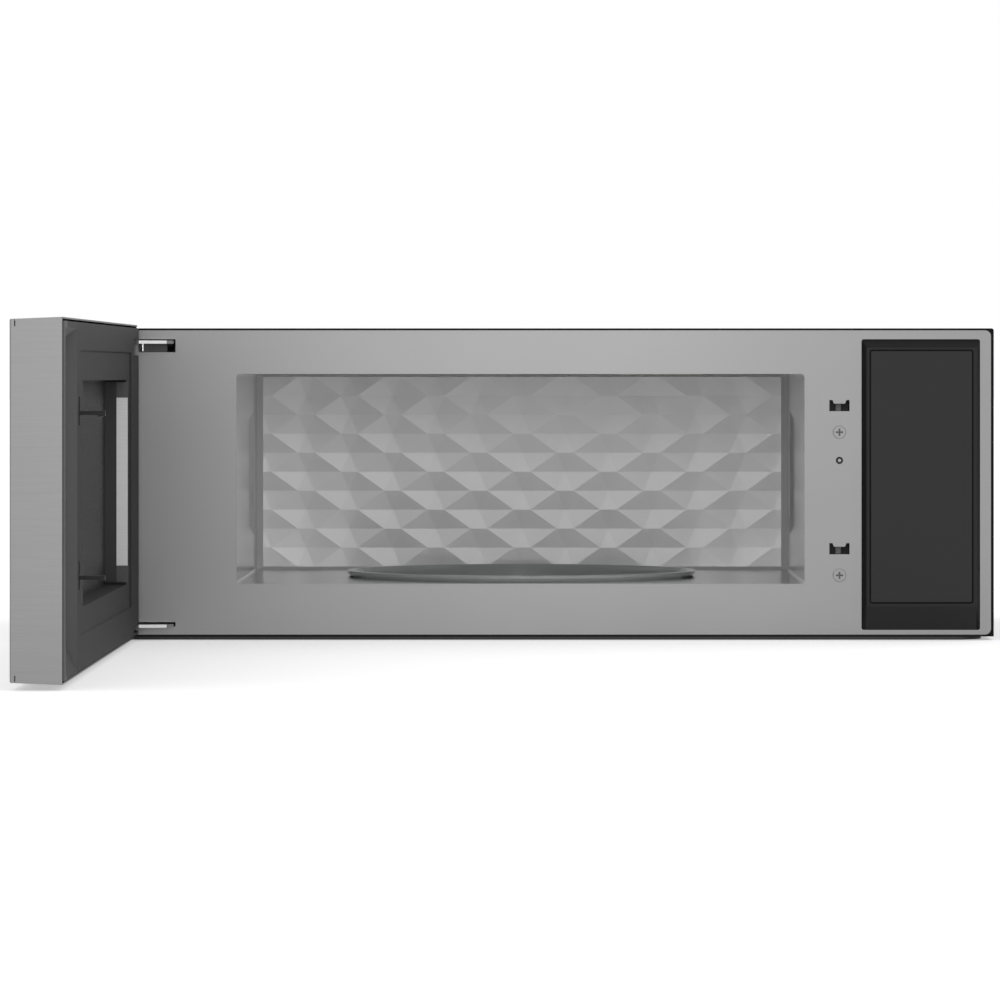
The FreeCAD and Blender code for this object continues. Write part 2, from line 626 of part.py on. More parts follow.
def magnetron():
    x0, x1 = MAGNETRON_X - MAGNETRON_W / 2, MAGNETRON_X + MAGNETRON_W / 2
    y0, y1 = TRAY_Y - MAGNETRON_D / 2, TRAY_Y + MAGNETRON_D / 2
    z0 = GUIDE_Z - MAGNETRON_H
    yoke = box(x0, y0, z0, x1, y1, GUIDE_Z)
    yoke = yoke.cut(box(x0 + MAGNETRON_YOKE_T, y0 - THROUGH, z0 + MAGNETRON_YOKE_T,
                        x1 - MAGNETRON_YOKE_T, y1 + THROUGH, GUIDE_Z - MAGNETRON_YOKE_T))
    solids = [rod(MAGNETRON_X, TRAY_Y, z0, MAGNETRON_CORE_R, MAGNETRON_H, UP)]
    solids.append(rod(MAGNETRON_X, TRAY_Y, GUIDE_Z - THROUGH, ANTENNA_R, ANTENNA_H + THROUGH, UP))
    pitch = MAGNETRON_H / (FIN_COUNT + 1)
    for i in range(FIN_COUNT):
        z = z0 + (i + 1) * pitch
        solids.append(box(x0, y0, z, x1, y1, z + FIN_T))
    return one(yoke.fuse(solids))


def transformer_core():
    core = box(CORE_X - CORE_W / 2, CORE_Y0, SHEET, CORE_X + CORE_W / 2, CORE_Y0 + CORE_D, SHEET + CORE_H)
    return one(core.cut([core_window(-1, 0), core_window(1, 0)]))


def core_window(side, clear):
    """Window beside the core's middle limb, drawn in by a clearance."""
    a = CORE_X + side * (CORE_LIMB / 2 + clear)
    b = CORE_X + side * (CORE_LIMB / 2 + CORE_WINDOW_W - clear)
    z = SHEET + (CORE_H - CORE_WINDOW_H) / 2
    return box(min(a, b), CORE_Y0 - COIL_BULGE, z + clear,
               max(a, b), CORE_Y0 + CORE_D + COIL_BULGE, z + CORE_WINDOW_H - clear)


def transformer_windings():
    reach = CORE_LIMB / 2 + CORE_WINDOW_W - FIT
    z = SHEET + (CORE_H - CORE_WINDOW_H) / 2
    ends = []
    for y in (CORE_Y0 - COIL_BULGE, CORE_Y0 + CORE_D + FIT):
        ends.append(box(CORE_X - reach, y, z + FIT,
                        CORE_X + reach, y + COIL_BULGE - FIT, z + CORE_WINDOW_H - FIT))
    return one(core_window(-1, FIT).fuse([core_window(1, FIT)] + ends))


def hv_capacitor():
    can = box(CORE_X - CAN_W / 2, CAN_Y0, SHEET, CORE_X + CAN_W / 2, CAN_Y0 + CAN_D, SHEET + CAN_H)
    can = round_edges(can, CAN_D / 2 - FIT, UP)
    pins = [rod(CORE_X + side * CAN_W / 5, CAN_Y0 + CAN_D / 2, SHEET + CAN_H - THROUGH,
                TERMINAL_R, TERMINAL_H + THROUGH, UP) for side in (-1, 1)]
    return one(can.fuse(pins))


def cavity_lamp_lens():
    return rod(OVEN_LAMP_X, OVEN_LAMP_Y, GUIDE_Z, OVEN_LENS_R, OVEN_LENS_T, UP)


def cavity_lamp():
    bulb = rod(OVEN_LAMP_X, OVEN_LAMP_Y, GUIDE_Z + OVEN_LENS_T, BULB_R, ROOF_SPACE - OVEN_LENS_T, UP)
    socket = rod(OVEN_LAMP_X, OVEN_LAMP_Y, ROOF - SOCKET_L, OVEN_LENS_R, SOCKET_L, UP)
    return one(bulb.fuse(socket))


def turntable_motor():
    top = WELL_Z - LINER_T
    half = MOTOR_SIDE / 2
    case = box(CAV_X - half, TRAY_Y - half, top - MOTOR_H, CAV_X + half, TRAY_Y + half, top)
    case = round_edges(case, MOTOR_SIDE / 8, UP)
    return one(case.cut(rod(CAV_X, TRAY_Y, top - MOTOR_H / 2, SHAFT_R + RUN_FIT, MOTOR_H, UP)))


def turntable_shaft():
    z = WELL_Z - LINER_T - MOTOR_H / 2 + RUN_FIT
    return rod(CAV_X, TRAY_Y, z, SHAFT_R, TRAY_Z - ROLLER_CLEAR - COUPLER_CAP - z, UP)


def turntable_coupler():
    z0, z1 = WELL_Z + LINER_T, TRAY_Z - ROLLER_CLEAR
    arms = []
    for i in range(3):
        arm = box(0, -COUPLER_ARM_W / 2, z0, COUPLER_ARM_L, COUPLER_ARM_W / 2, z1)
        arm.rotate(V(0, 0, 0), UP, 120 * i)
        arm.translate(V(CAV_X, TRAY_Y, 0))
        arms.append(arm)
    bore = rod(CAV_X, TRAY_Y, z0 - THROUGH, SHAFT_R + RUN_FIT, z1 - COUPLER_CAP - z0 + THROUGH, UP)
    return one(rod(CAV_X, TRAY_Y, z0, COUPLER_R, z1 - z0, UP).fuse(arms).cut(bore))


def glass_tray():
    inner = TRAY_FOOT_R - TRAY_T / 2
    face = TRAY_Z + TRAY_T
    points = [(0, TRAY_Z), (TRAY_FOOT_R, TRAY_Z), (TRAY_R, TRAY_UNDER), (TRAY_R, TRAY_TOP),
              (inner + TRAY_TOP - face, TRAY_TOP), (inner, face), (0, face)]
    tray = turned(points, CAV_X, TRAY_Y)
    rim = [e for e in tray.Edges if e.Curve.TypeId == "Part::GeomCircle" and e.Curve.Radius > TRAY_R - FIT]
    tray = tray.makeFillet(TRAY_RIM_T / 3, rim)
    lugs = []
    for i in range(3):
        angle = math.radians(60 + 120 * i)
        reach = COUPLER_R + COUPLER_ARM_W
        lugs.append(rod(CAV_X + reach * math.cos(angle), TRAY_Y + reach * math.sin(angle),
                        WELL_Z + ROLLER_R, COUPLER_ARM_W / 2, TRAY_Z - WELL_Z, UP))
    ceiling = rod(CAV_X, TRAY_Y, face, TRAY_R, WELL_DEPTH, UP)
    return one(tray.fuse(group(lugs).cut(ceiling)))


def around(shape, index):
    """Turn a piece to its place among the evenly spaced rollers and move it to the turntable."""
    shape.rotate(V(0, 0, 0), UP, 360.0 / ROLLER_COUNT * index - 90)
    shape.translate(V(CAV_X, TRAY_Y, 0))
    return shape


def roller_ring():
    z = ROLLER_Z - RING_T / 2
    band = rod(CAV_X, TRAY_Y, z, RING_R + RING_W / 2, RING_T, UP)
    band = band.cut(rod(CAV_X, TRAY_Y, z - THROUGH, RING_R - RING_W / 2, RING_T + 2 * THROUGH, UP))
    pins = []
    for i in range(ROLLER_COUNT):
        axle = rod(RING_R, 0, ROLLER_Z, AXLE_R, ROLLER_IN + ROLLER_W + 2 * ROLLER_CLEAR - RING_R, RIGHT)
        head = rod(ROLLER_IN + ROLLER_W + ROLLER_CLEAR, 0, ROLLER_Z, 1.6 * AXLE_R, AXLE_R, RIGHT)
        pins.append(around(axle.fuse(head), i))
    return one(band.fuse(pins))


def roller(index):
    wheel = rod(ROLLER_IN, 0, ROLLER_Z, ROLLER_R, ROLLER_W, RIGHT)
    wheel = wheel.cut(rod(ROLLER_IN - THROUGH, 0, ROLLER_Z, AXLE_R + RUN_FIT, ROLLER_W + 2 * THROUGH, RIGHT))
    return around(wheel, index)


def fan_bulkhead():
    wall = box(CAV_X1 + LINER_T, FAN_Y, SHEET, INNER, PANEL_BACK, ROOF)
    hole = rod(FAN_X, FAN_Y - THROUGH, FAN_Z, FAN_R + FAN_CLEAR, 2 * THROUGH + SHEET, BACK)
    return one(wall.cut(hole))


def cooling_fan_blade():
    hub = rod(FAN_X, FAN_Y - FAN_HUB_H / 2, FAN_Z, FAN_HUB_R, FAN_HUB_H, BACK)
    shaft = rod(FAN_X, FAN_Y, FAN_Z, FAN_SHAFT_R, FAN_HUB_H + FAN_MOTOR_H / 2, BACK)
    solids = [shaft]
    for i in range(FAN_BLADES):
        blade = box(-FAN_CHORD / 2, -FAN_BLADE_T / 2, FAN_HUB_R / 2,
                    FAN_CHORD / 2, FAN_BLADE_T / 2, FAN_R - FAN_CLEAR)
        blade.rotate(V(0, 0, 0), UP, FAN_PITCH)
        blade.rotate(V(0, 0, 0), BACK, 360.0 / FAN_BLADES * i)
        blade.translate(V(FAN_X, FAN_Y, FAN_Z))
        solids.append(blade)
    return one(hub.fuse(solids))


def cooling_fan_motor():
    y = FAN_Y + FAN_HUB_H / 2 + FAN_CLEAR
    body = rod(FAN_X, y, FAN_Z, FAN_MOTOR_R, FAN_MOTOR_H, BACK)
    reach = FAN_R + FAN_CLEAR + FAN_STRUT_W
    z0, z1 = FAN_Z - FAN_STRUT_W / 2, FAN_Z + FAN_STRUT_W / 2
    strut = box(FAN_X - reach, y, z0, FAN_X + reach, y + FAN_STRUT_T, z1)
    feet = []
    for x in (FAN_X - reach, FAN_X + reach - FAN_STRUT_T):
        feet.append(box(x, PANEL_BACK, z0, x + FAN_STRUT_T, y + FAN_STRUT_T, z1))
    bore = rod(FAN_X, y - THROUGH, FAN_Z, FAN_SHAFT_R + RUN_FIT, FAN_MOTOR_H, BACK)
    return one(body.fuse([strut] + feet).cut(bore))


def exhaust_collar():
    reach = EXHAUST_W / 2
    tube = box(-reach - SHEET, SCROLL_Y0, COLLAR_Z, reach + SHEET, REAR, ROOF)
    room = box(-reach, SCROLL_Y0 + SHEET, COLLAR_Z - THROUGH, reach, REAR - SHEET, ROOF + THROUGH)
    pin = rod(-reach - 2 * SHEET, FLAP_Y, FLAP_Z, FLAP_PIN_R + RUN_FIT, EXHAUST_W + 4 * SHEET, RIGHT)
    return one(tube.cut([room, pin]))


def exhaust_flap():
    reach = EXHAUST_W / 2
    leaf = box(-reach + SHEET, SCROLL_Y0 + 2 * SHEET, FLAP_Z - FLAP_T / 2,
               reach - SHEET, FLAP_Y, FLAP_Z + FLAP_T / 2)
    pin = rod(-reach - SHEET, FLAP_Y, FLAP_Z, FLAP_PIN_R, EXHAUST_W + 2 * SHEET, RIGHT)
    return one(leaf.fuse(pin))


def blower_housing(side):
    """Scroll round one blower wheel, open upwards into the exhaust collar."""
    a, b = side * BLOWER_MOTOR_W / 2, side * (EXHAUST_W / 2 + SHEET)
    x0, x1 = min(a, b), max(a, b)
    bore_r = WHEEL_R + SCROLL_GAP
    case = box(x0, SCROLL_Y0, BLOWER_Z - SCROLL_D / 2, x1, REAR, COLLAR_Z)
    room = rod(x0 + SHEET, BLOWER_Y, BLOWER_Z, bore_r, x1 - x0 - 2 * SHEET, RIGHT)
    duct = box(x0 + SHEET, BLOWER_Y - bore_r, BLOWER_Z, x1 - SHEET, BLOWER_Y + bore_r, COLLAR_Z + THROUGH)
    inlet = rod(x0 - THROUGH, BLOWER_Y, BLOWER_Z, WHEEL_R - SCROLL_GAP, x1 - x0 + 2 * THROUGH, RIGHT)
    return one(case.cut([room, duct, inlet]))


def blower_motor():
    half = BLOWER_MOTOR_W / 2
    body = rod(-half + SCROLL_GAP, BLOWER_Y, BLOWER_Z, BLOWER_MOTOR_R, 2 * (half - SCROLL_GAP), RIGHT)
    foot = box(-half / 2, BLOWER_Y, BLOWER_Z - BLOWER_MOTOR_R / 2,
               half / 2, REAR, BLOWER_Z + BLOWER_MOTOR_R / 2)
    bore = rod(-half, BLOWER_Y, BLOWER_Z, BLOWER_SHAFT_R + RUN_FIT, BLOWER_MOTOR_W, RIGHT)
    return one(body.fuse(foot).cut(bore))


def blower_wheels():
    reach = EXHAUST_W / 2
    start, length = BLOWER_MOTOR_W / 2 + SCROLL_GAP, reach - BLOWER_MOTOR_W / 2 - 2 * SCROLL_GAP
    solids = []
    for side in (-1, 1):
        x0 = start if side > 0 else -start - length
        for x in (x0, x0 + length - WHEEL_RIM):
            eye = rod(x - THROUGH, BLOWER_Y, BLOWER_Z, WHEEL_R - SCROLL_GAP, 2 * THROUGH + WHEEL_RIM, RIGHT)
            solids.append(rod(x, BLOWER_Y, BLOWER_Z, WHEEL_R, WHEEL_RIM, RIGHT).cut(eye))
        solids.append(rod(x0 + length / 2, BLOWER_Y, BLOWER_Z, WHEEL_R - SHEET, SHEET, RIGHT))
        for i in range(BLADE_COUNT):
            blade = box(x0, -SHEET / 2, WHEEL_R - SCROLL_GAP, x0 + length, SHEET / 2, WHEEL_R - SHEET)
            blade.rotate(V(0, 0, 0), RIGHT, 360.0 / BLADE_COUNT * i)
            blade.translate(V(0, BLOWER_Y, BLOWER_Z))
            solids.append(blade)
    return one(rod(-reach, BLOWER_Y, BLOWER_Z, BLOWER_SHAFT_R, EXHAUST_W, RIGHT).fuse(solids))


def grease_filter(side):
    x0, x1 = side * FILTER_X - FILTER_W / 2, side * FILTER_X + FILTER_W / 2
    y1 = FILTER_Y0 + FILTER_D
    frame = box(x0, FILTER_Y0, SHEET, x1, y1, SHEET + FILTER_T)
    pitch = (FILTER_D - FILTER_BORDER) / (FILTER_SLATS + 1)
    cuts = []
    for i in range(FILTER_SLATS + 1):
        y = FILTER_Y0 + FILTER_BORDER + i * pitch
        cuts.append(box(x0 + FILTER_BORDER, y, 0,
                        x1 - FILTER_BORDER, y + pitch - FILTER_BORDER, SHEET + FILTER_T + THROUGH))
    return one(frame.cut(cuts))


def hood_lamp_lenses():
    lenses = []
    for side in (-1, 1):
        x = side * LAMP_X
        lenses.append(box(x - LENS_W / 2, LENS_Y0, SHEET, x + LENS_W / 2, LENS_Y0 + LENS_D, SHEET + LENS_T))
    return group(lenses)


def hood_lamps():
    lamps = []
    for side in (-1, 1):
        x, y, z = side * LAMP_X, LENS_Y0 + LENS_D / 2, SHEET + LENS_T + BULB_R
        bulb = rod(x - LENS_W / 2, y, z, BULB_R, LENS_W - SOCKET_L, RIGHT)
        socket = box(x + LENS_W / 2 - SOCKET_L, y - LENS_D / 3, SHEET + LENS_T,
                     x + LENS_W / 2, y + LENS_D / 3, z + BULB_R)
        lamps.append(one(bulb.fuse(socket)))
    return group(lamps)


def control_housing():
    base = upright(HOUSING_X0, HOUSING_Z0, HOUSING_X1, HOUSING_Z1, FRONT)
    top = FRONT - HOUSING_H
    crown = upright(*PANEL_RECT, top)
    rim = inset(PANEL_RECT, COVER_INSET)
    pocket = round_edges(panel_box(rim, top - THROUGH, top + SEAM_DEEP), COVER_R + COVER_GAP, BACK)
    seat = round_edges(panel_box(inset(rim, COVER_GAP), top + COVER_T, FRONT), COVER_R, BACK)
    room = panel_box(inset(PANEL_RECT, BOARD_LEDGE), top - THROUGH, FRONT + THROUGH)
    body = prismoid(base, crown)
    body = body.makeFillet(HIP_ROUND, [e for e in body.Edges if e.BoundBox.YMin < FRONT - HOUSING_H / 2])
    outline = panel_box((HOUSING_X0, HOUSING_Z0, HOUSING_X1, HOUSING_Z1), top, FRONT)
    return one(body.common(round_edges(outline, HOUSING_R, BACK)).cut([pocket.cut(seat), room]))


def control_panel_cover():
    top = FRONT - HOUSING_H
    cover = panel_box(inset(PANEL_RECT, COVER_INSET + COVER_GAP), top, top + COVER_T)
    return round_edges(cover, COVER_R, BACK)


def control_board():
    rect = inset(PANEL_RECT, BOARD_LEDGE + FIT)
    y = FRONT - BOARD_POST
    solids = []
    for x in (rect[0], rect[2] - BOARD_LEDGE + FIT):
        for z in (rect[1], rect[3] - BOARD_LEDGE + FIT):
            solids.append(box(x, y - BOARD_T, z, x + BOARD_LEDGE - FIT, FRONT, z + BOARD_LEDGE - FIT))
    pitch = (rect[3] - rect[1]) / (RELAY_COUNT + 1)
    middle = (rect[0] + rect[2]) / 2
    for i in range(RELAY_COUNT):
        z = rect[1] + (i + 1) * pitch
        solids.append(box(middle - RELAY_W / 2, y - BOARD_T, z - RELAY_H / 2,
                          middle + RELAY_W / 2, y + RELAY_D, z + RELAY_H / 2))
    return one(panel_box(rect, y - BOARD_T, y).fuse(solids))


def latch_bracket():
    """Back strip, two cheeks and three blocks that leave a pocket behind each latch slot."""
    half, cheek, strip_y = BRACKET_W / 2, SLOT_W / 2, BRACKET_BACK - HOUSING_T
    z0, z1 = SLOT_ZS[1] - SCREW_DROP - BRACKET_END / 2, SLOT_ZS[0] + BRACKET_END
    solids = [box(LATCH_X - half, strip_y, z0, LATCH_X + half, BRACKET_BACK, z1)]
    for x in (LATCH_X - half, LATCH_X + cheek):
        solids.append(box(x, PLATE_BACK, z0, x + half - cheek, strip_y, z1))
    holes = [rod(LATCH_X, PLATE_BACK - THROUGH, SENSOR_Z, SENSOR_BUSH_R + FIT, BRACKET_D, BACK)]
    for z in SLOT_ZS:
        holes.append(rod(LATCH_X, PLATE_BACK - THROUGH, z - SCREW_DROP, SCREW_R + RUN_FIT, BRACKET_D, BACK))
    levels = [z0, SLOT_ZS[1] - SLOT_H / 2, SLOT_ZS[1] + SLOT_H / 2,
              SLOT_ZS[0] - SLOT_H / 2, SLOT_ZS[0] + SLOT_H / 2, z1]
    for low, high in zip(levels[0::2], levels[1::2]):
        block = box(LATCH_X - cheek, PLATE_BACK, low, LATCH_X + cheek, strip_y, high)
        solids.append(one(block.cut(holes)))
    return group(solids)


def interlock_levers():
    levers = []
    for z in SLOT_ZS:
        y, foot = BRACKET_BACK - HOUSING_T - LEVER_TRAVEL, z - SLOT_H / 2
        levers.append(box(LATCH_X - LEVER_W / 2, y - LEVER_T, foot, LATCH_X + LEVER_W / 2, y, foot + LEVER_H))
    return group(levers)


def interlock_switches():
    x = LATCH_X + BRACKET_W / 2
    y, half = BRACKET_BACK - SWITCH_D, SWITCH_H / 2
    return group([box(x, y, z - half, x + SWITCH_W, BRACKET_BACK, z + half) for z in SLOT_ZS])


def cross_screw(x, y, z, head_r, head_h, shank_r, shank):
    """Cross-head screw that faces the front, seated on the plane at y."""
    head = rod(x, y - head_h, z, head_r, head_h, BACK)
    crown = [e for e in head.Edges if abs(e.BoundBox.YMax - (y - head_h)) < head_h / 8]
    head = head.makeFillet(head_h / 2, crown)
    arm, slit, deep = head_r * 0.55, head_r * 0.13, head_h * 0.6
    cross = [box(x - arm, y - head_h - THROUGH, z - slit, x + arm, y - head_h + deep, z + slit),
             box(x - slit, y - head_h - THROUGH, z - arm, x + slit, y - head_h + deep, z + arm)]
    return one(head.fuse(rod(x, y - head_h / 4, z, shank_r, shank + head_h / 4, BACK)).cut(cross))


def front_screws():
    size = (SCREW_HEAD_R, SCREW_HEAD_H, SCREW_R, BRACKET_D / 2)
    return group([cross_screw(LATCH_X, FRONT, z - SCREW_DROP, *size) for z in SLOT_ZS])


def hinge_screws():
    """Screws through the flanges into the front plate's back, the lower ones through the base pan's lip."""
    screws = []
    tip = FRONT + PLATE_SKIN
    for hinge in HINGES.values():
        seat = hinge.seat + FLANGE_T
        for x, z in hinge_screw_places(hinge):
            head = rod(x, seat, z, HINGE_SCREW_R, HINGE_SCREW_H, BACK)
            screws.append(one(head.fuse(rod(x, tip, z, SCREW_R - RUN_FIT, seat - tip, BACK))))
    return group(screws)


def sensor_bush():
    y = FRONT - FIT
    tube = rod(LATCH_X, y, SENSOR_Z, SENSOR_BUSH_R, BRACKET_D / 2, BACK)
    return one(tube.cut(rod(LATCH_X, y - THROUGH, SENSOR_Z, SENSOR_R + RUN_FIT, BRACKET_D, BACK)))


def sensor_pin():
    return rod(LATCH_X, FRONT - SENSOR_TRAVEL, SENSOR_Z, SENSOR_R, BRACKET_D / 2 + SENSOR_TRAVEL, BACK)


def cabinet_bolt_nuts():
    nuts = []
    for x in (-BOLT_SPACING / 2, BOLT_SPACING / 2):
        angles = [math.radians(60 * i) for i in range(6)]
        corners = [V(x + NUT_R * math.cos(a), BOLT_Y + NUT_R * math.sin(a), ROOF - NUT_H) for a in angles]
        prism = Part.Face(Part.makePolygon(corners + corners[:1])).extrude(UP * NUT_H)
        nuts.append(prism.cut(rod(x, BOLT_Y, ROOF - NUT_H - THROUGH, BOLT_HOLE_R, NUT_H + 2 * THROUGH, UP)))
    return group(nuts)


def cord_bushing():
    ring = rod(CORD_X, REAR - BUSH_FLANGE, CORD_Z, CORD_HOLE_R + BUSH_FLANGE, BUSH_FLANGE, BACK)
    ring = ring.fuse(rod(CORD_X, REAR - BUSH_FLANGE, CORD_Z, CORD_HOLE_R, BUSH_FLANGE + SHEET, BACK))
    bore = rod(CORD_X, REAR - 2 * BUSH_FLANGE, CORD_Z, CORD_HOLE_R - BUSH_FLANGE, 4 * BUSH_FLANGE, BACK)
    return one(ring.cut(bore))


def casing_screws():
    """Screws along the casing's sides near the wall."""
    screws = []
    for side in (-1, 1):
        for z in (CASING_SCREW_EDGE, HEIGHT / 2, HEIGHT - CASING_SCREW_EDGE):
            x = side * INNER - (CASING_SCREW_H if side > 0 else 0)
            screws.append(rod(x, REAR - CASING_SCREW_EDGE, z, CASING_SCREW_R, CASING_SCREW_H, RIGHT))
    return group(screws)


def hinge_bracket(hinge):
    z = hinge.leaf
    back = hinge.seat + FLANGE_T
    corners = [(LEAF_X0, back), (LEAF_X1, back), (LEAF_X1, FRONT - LEAF_NECK),
               (LEAF_X1 - LEAF_CORNER, FRONT - LEAF_REACH),
               (PIVOT_X + EYE_R * 0.4, PIVOT_Y - EYE_R * 0.9), (PIVOT_X - EYE_R * 0.7, PIVOT_Y + EYE_R * 0.7),
               (LEAF_X0, FRONT - FIT)]
    outline = [V(x, y, z) for x, y in corners]
    leaf = Part.Face(Part.makePolygon(outline + outline[:1])).extrude(UP * LEAF_T)
    eye = rod(PIVOT_X, PIVOT_Y, z, EYE_R, LEAF_T, UP)
    flange = box(LEAF_X0, hinge.seat, hinge.flange, LEAF_X1 - FLANGE_SHORT, back, z + LEAF_T)
    cuts = [rod(PIVOT_X, PIVOT_Y, z - THROUGH, PIN_R + RUN_FIT, LEAF_T + 2 * THROUGH, UP)]
    for x, screw_z in hinge_screw_places(hinge):
        cuts.append(rod(x, FRONT, screw_z, SCREW_R, back - FRONT + THROUGH, BACK))
    solids = [eye, flange]
    if z == UPPER_LEAF:
        solids.append(rod(LEAF_X0 + STOP_X, FRONT - STOP_Y, z - STOP_L, STOP_R, STOP_L + LEAF_T, UP))
    return one(leaf.fuse(solids).cut(cuts))


def hinge_corner():
    """What the door loses at its hinge corner so that it swings clear of the front plate."""
    corner = box(-HALF - THROUGH, PIVOT_Y, -THROUGH, PIVOT_X, DOOR_IN + THROUGH, DOOR_Z1 + THROUGH)
    return corner.cut(rod(PIVOT_X, PIVOT_Y, -2 * THROUGH, DOOR_T / 2, DOOR_Z1 + 4 * THROUGH, UP))


def hinge_pocket(hinge, grow):
    """Room in the door for a leaf, its pin and what hangs under it; grow adds the frame's wall round it."""
    gap = POCKET_CLEAR + grow
    return box(-HALF - THROUGH, PIVOT_Y - EYE_R - gap, hinge.slot - PIN_HEAD_H - gap,
               LEAF_X1 + PIN_R + gap, DOOR_IN + THROUGH, hinge.leaf + LEAF_T + gap)


def control_recess(grow):
    """Room in the door for the control housing; grow adds the frame's wall round it."""
    side = RECESS_SIDE + grow
    rise = RECESS_SIDE + RECESS_RISE + grow
    mouth = upright(HOUSING_X0 - side, HOUSING_Z0 - side, HOUSING_X1 + side, HOUSING_Z1 + rise, DOOR_IN)
    x0, z0, x1, z1 = PANEL_RECT
    floor = upright(x0 - side, z0 - side, x1 + side, z1 + rise, DOOR_IN - RECESS_DEEP - grow)
    return prismoid(mouth, floor)


def latch_channel(grow):
    middle = (SLOT_ZS[0] + SLOT_ZS[1]) / 2
    gap = ROLLER_CLEAR + grow
    return box(LATCH_X - HOOK_W / 2 - gap, BAR_Y0 - gap, middle - GUIDE_L / 2,
               LATCH_X + HOOK_W / 2 + gap, DOOR_IN - FRAME_T, middle + GUIDE_L / 2)


def opened(shape):
    """Swing a door piece from its closed place to the open one."""
    shape.rotate(V(PIVOT_X, PIVOT_Y, 0), UP, -90)
    return shape


def skin_section(y, by):
    """Corners of the flared skin at one depth, drawn in by a thickness."""
    spread = SKIN_FLARE * (y - DOOR_OUT) / SKIN_DEPTH - by
    return upright(-HALF + by, DOOR_Z0 - spread, HALF - by, DOOR_Z1 + spread, y)


def skin_room():
    """Space inside the skin's folds."""
    return prismoid(skin_section(DOOR_OUT + SKIN_T, SKIN_T), skin_section(DOOR_IN, SKIN_T))


def door_skin():
    tray = prismoid(skin_section(DOOR_OUT, 0), skin_section(DOOR_OUT + SKIN_DEPTH, 0))
    edges = [e for e in tray.Edges if e.BoundBox.YMax < DOOR_OUT + FIT]
    tray = tray.makeFillet(SKIN_T, edges)
    cuts = [skin_room(), hinge_corner()]
    notch_y = DOOR_OUT + NOTCH_IN
    for z0, z1 in ((DOOR_Z0 - THROUGH, DOOR_Z0 + NOTCH_H), (DOOR_Z1 - NOTCH_H, DOOR_Z1 + THROUGH)):
        cuts.append(box(HALF - 2 * SKIN_T, notch_y, z0, HALF + THROUGH, notch_y + NOTCH_W, z1))
    for rect in (MOUTH, TOUCH):
        cuts.append(panel_box(inset(rect, -FIT), DOOR_OUT - THROUGH, DOOR_OUT + GLASS_T))
    return opened(one(tray.cut(cuts)))


def door_inner_frame():
    inside = FRAME_T + SKIN_T
    block = box(-HALF + SKIN_T, DOOR_OUT + SKIN_T, DOOR_Z0 + SKIN_T, HALF - SKIN_T, DOOR_IN, DOOR_Z1 - SKIN_T)
    hollow = box(-HALF + inside, DOOR_OUT, DOOR_Z0 + inside,
                 HALF - inside, DOOR_IN - FRAME_T, DOOR_Z1 - inside)
    glass_y = DOOR_OUT + GLASS_T
    seal_deep = SEAL_DEEP + CHOKE_T
    walls = [panel_box(inset(WINDOW, -FRAME_T), glass_y, DOOR_IN)]
    seal_mouth = inset(SEAL, -SEAL_SLANT)
    walls.append(panel_box(inset(seal_mouth, -FRAME_T), DOOR_IN - seal_deep - FRAME_T, DOOR_IN))
    touch_room = panel_box(inset(TOUCH, GLASS_LEDGE), DOOR_OUT, DOOR_IN - RECESS_DEEP - FRAME_T)
    touch_wall = panel_box(inset(TOUCH, GLASS_LEDGE - FRAME_T), glass_y, DOOR_IN - FRAME_T)
    walls += [touch_wall.cut(touch_room), control_recess(FRAME_T), latch_channel(FRAME_T)]
    cuts = [panel_box(WINDOW, DOOR_OUT, DOOR_IN + THROUGH)]
    cuts.append(panel_box(SEAL, DOOR_IN - seal_deep, DOOR_IN + THROUGH))
    cuts.append(prismoid(upright(*SEAL, DOOR_IN - SEAL_DEEP), upright(*seal_mouth, DOOR_IN)))
    cuts += [control_recess(0), latch_channel(0), hinge_corner()]
    for hinge in HINGES.values():
        seat = hinge.leaf + LEAF_T + POCKET_CLEAR
        walls.append(hinge_pocket(hinge, FRAME_T))
        walls.append(rod(PIVOT_X, PIVOT_Y, seat, PIN_R + FRAME_T, PIN_SEAT, UP))
        cuts.append(hinge_pocket(hinge, 0))
        cuts.append(rod(PIVOT_X, PIVOT_Y, seat - THROUGH, PIN_R + RUN_FIT, PIN_SEAT + THROUGH, UP))
    for z in SLOT_ZS:
        cuts.append(box(LATCH_X - HOOK_W / 2 - FIT, DOOR_IN - seal_deep - FRAME_T, z - HOOK_SLIT / 2,
                        LATCH_X + HOOK_W / 2 + FIT, DOOR_IN + THROUGH, z + HOOK_SLIT / 2))
    hinge_end = box(PIVOT_X, DOOR_OUT, DOOR_Z0 - THROUGH,
                    PIVOT_X + FRAME_T, DOOR_OUT + SKIN_DEPTH, DOOR_Z1 + THROUGH)
    collar = skin_room().common(hinge_end).cut(hollow)
    shell = block.cut(hollow).fuse([block.common(wall) for wall in walls] + [collar])
    return opened(one(shell.cut(cuts)))


def door_choke_cover():
    ring = panel_box(inset(SEAL, RUN_FIT), DOOR_IN - SEAL_DEEP - CHOKE_T, DOOR_IN - SEAL_DEEP)
    return opened(one(ring.cut(panel_box(WINDOW, DOOR_OUT, DOOR_IN))))


def door_screen():
    rect = inset(WINDOW, RUN_FIT)
    sheet = panel_box(rect, SCREEN_Y - SCREEN_T, SCREEN_Y)
    flange = box(rect[0], SCREEN_Y - SCREEN_T, rect[1] + STRIP_MARGIN,
                 rect[0] + SCREEN_T, SCREEN_Y + SCREEN_FLANGE, rect[3] - STRIP_MARGIN)
    return opened(one(sheet.fuse(flange)))


def door_inner_window():
    return opened(panel_box(inset(WINDOW, RUN_FIT), SCREEN_Y - SCREEN_T - WINDOW_T, SCREEN_Y - SCREEN_T))


def door_outer_glass():
    return opened(panel_box(MOUTH, DOOR_OUT, DOOR_OUT + GLASS_T))


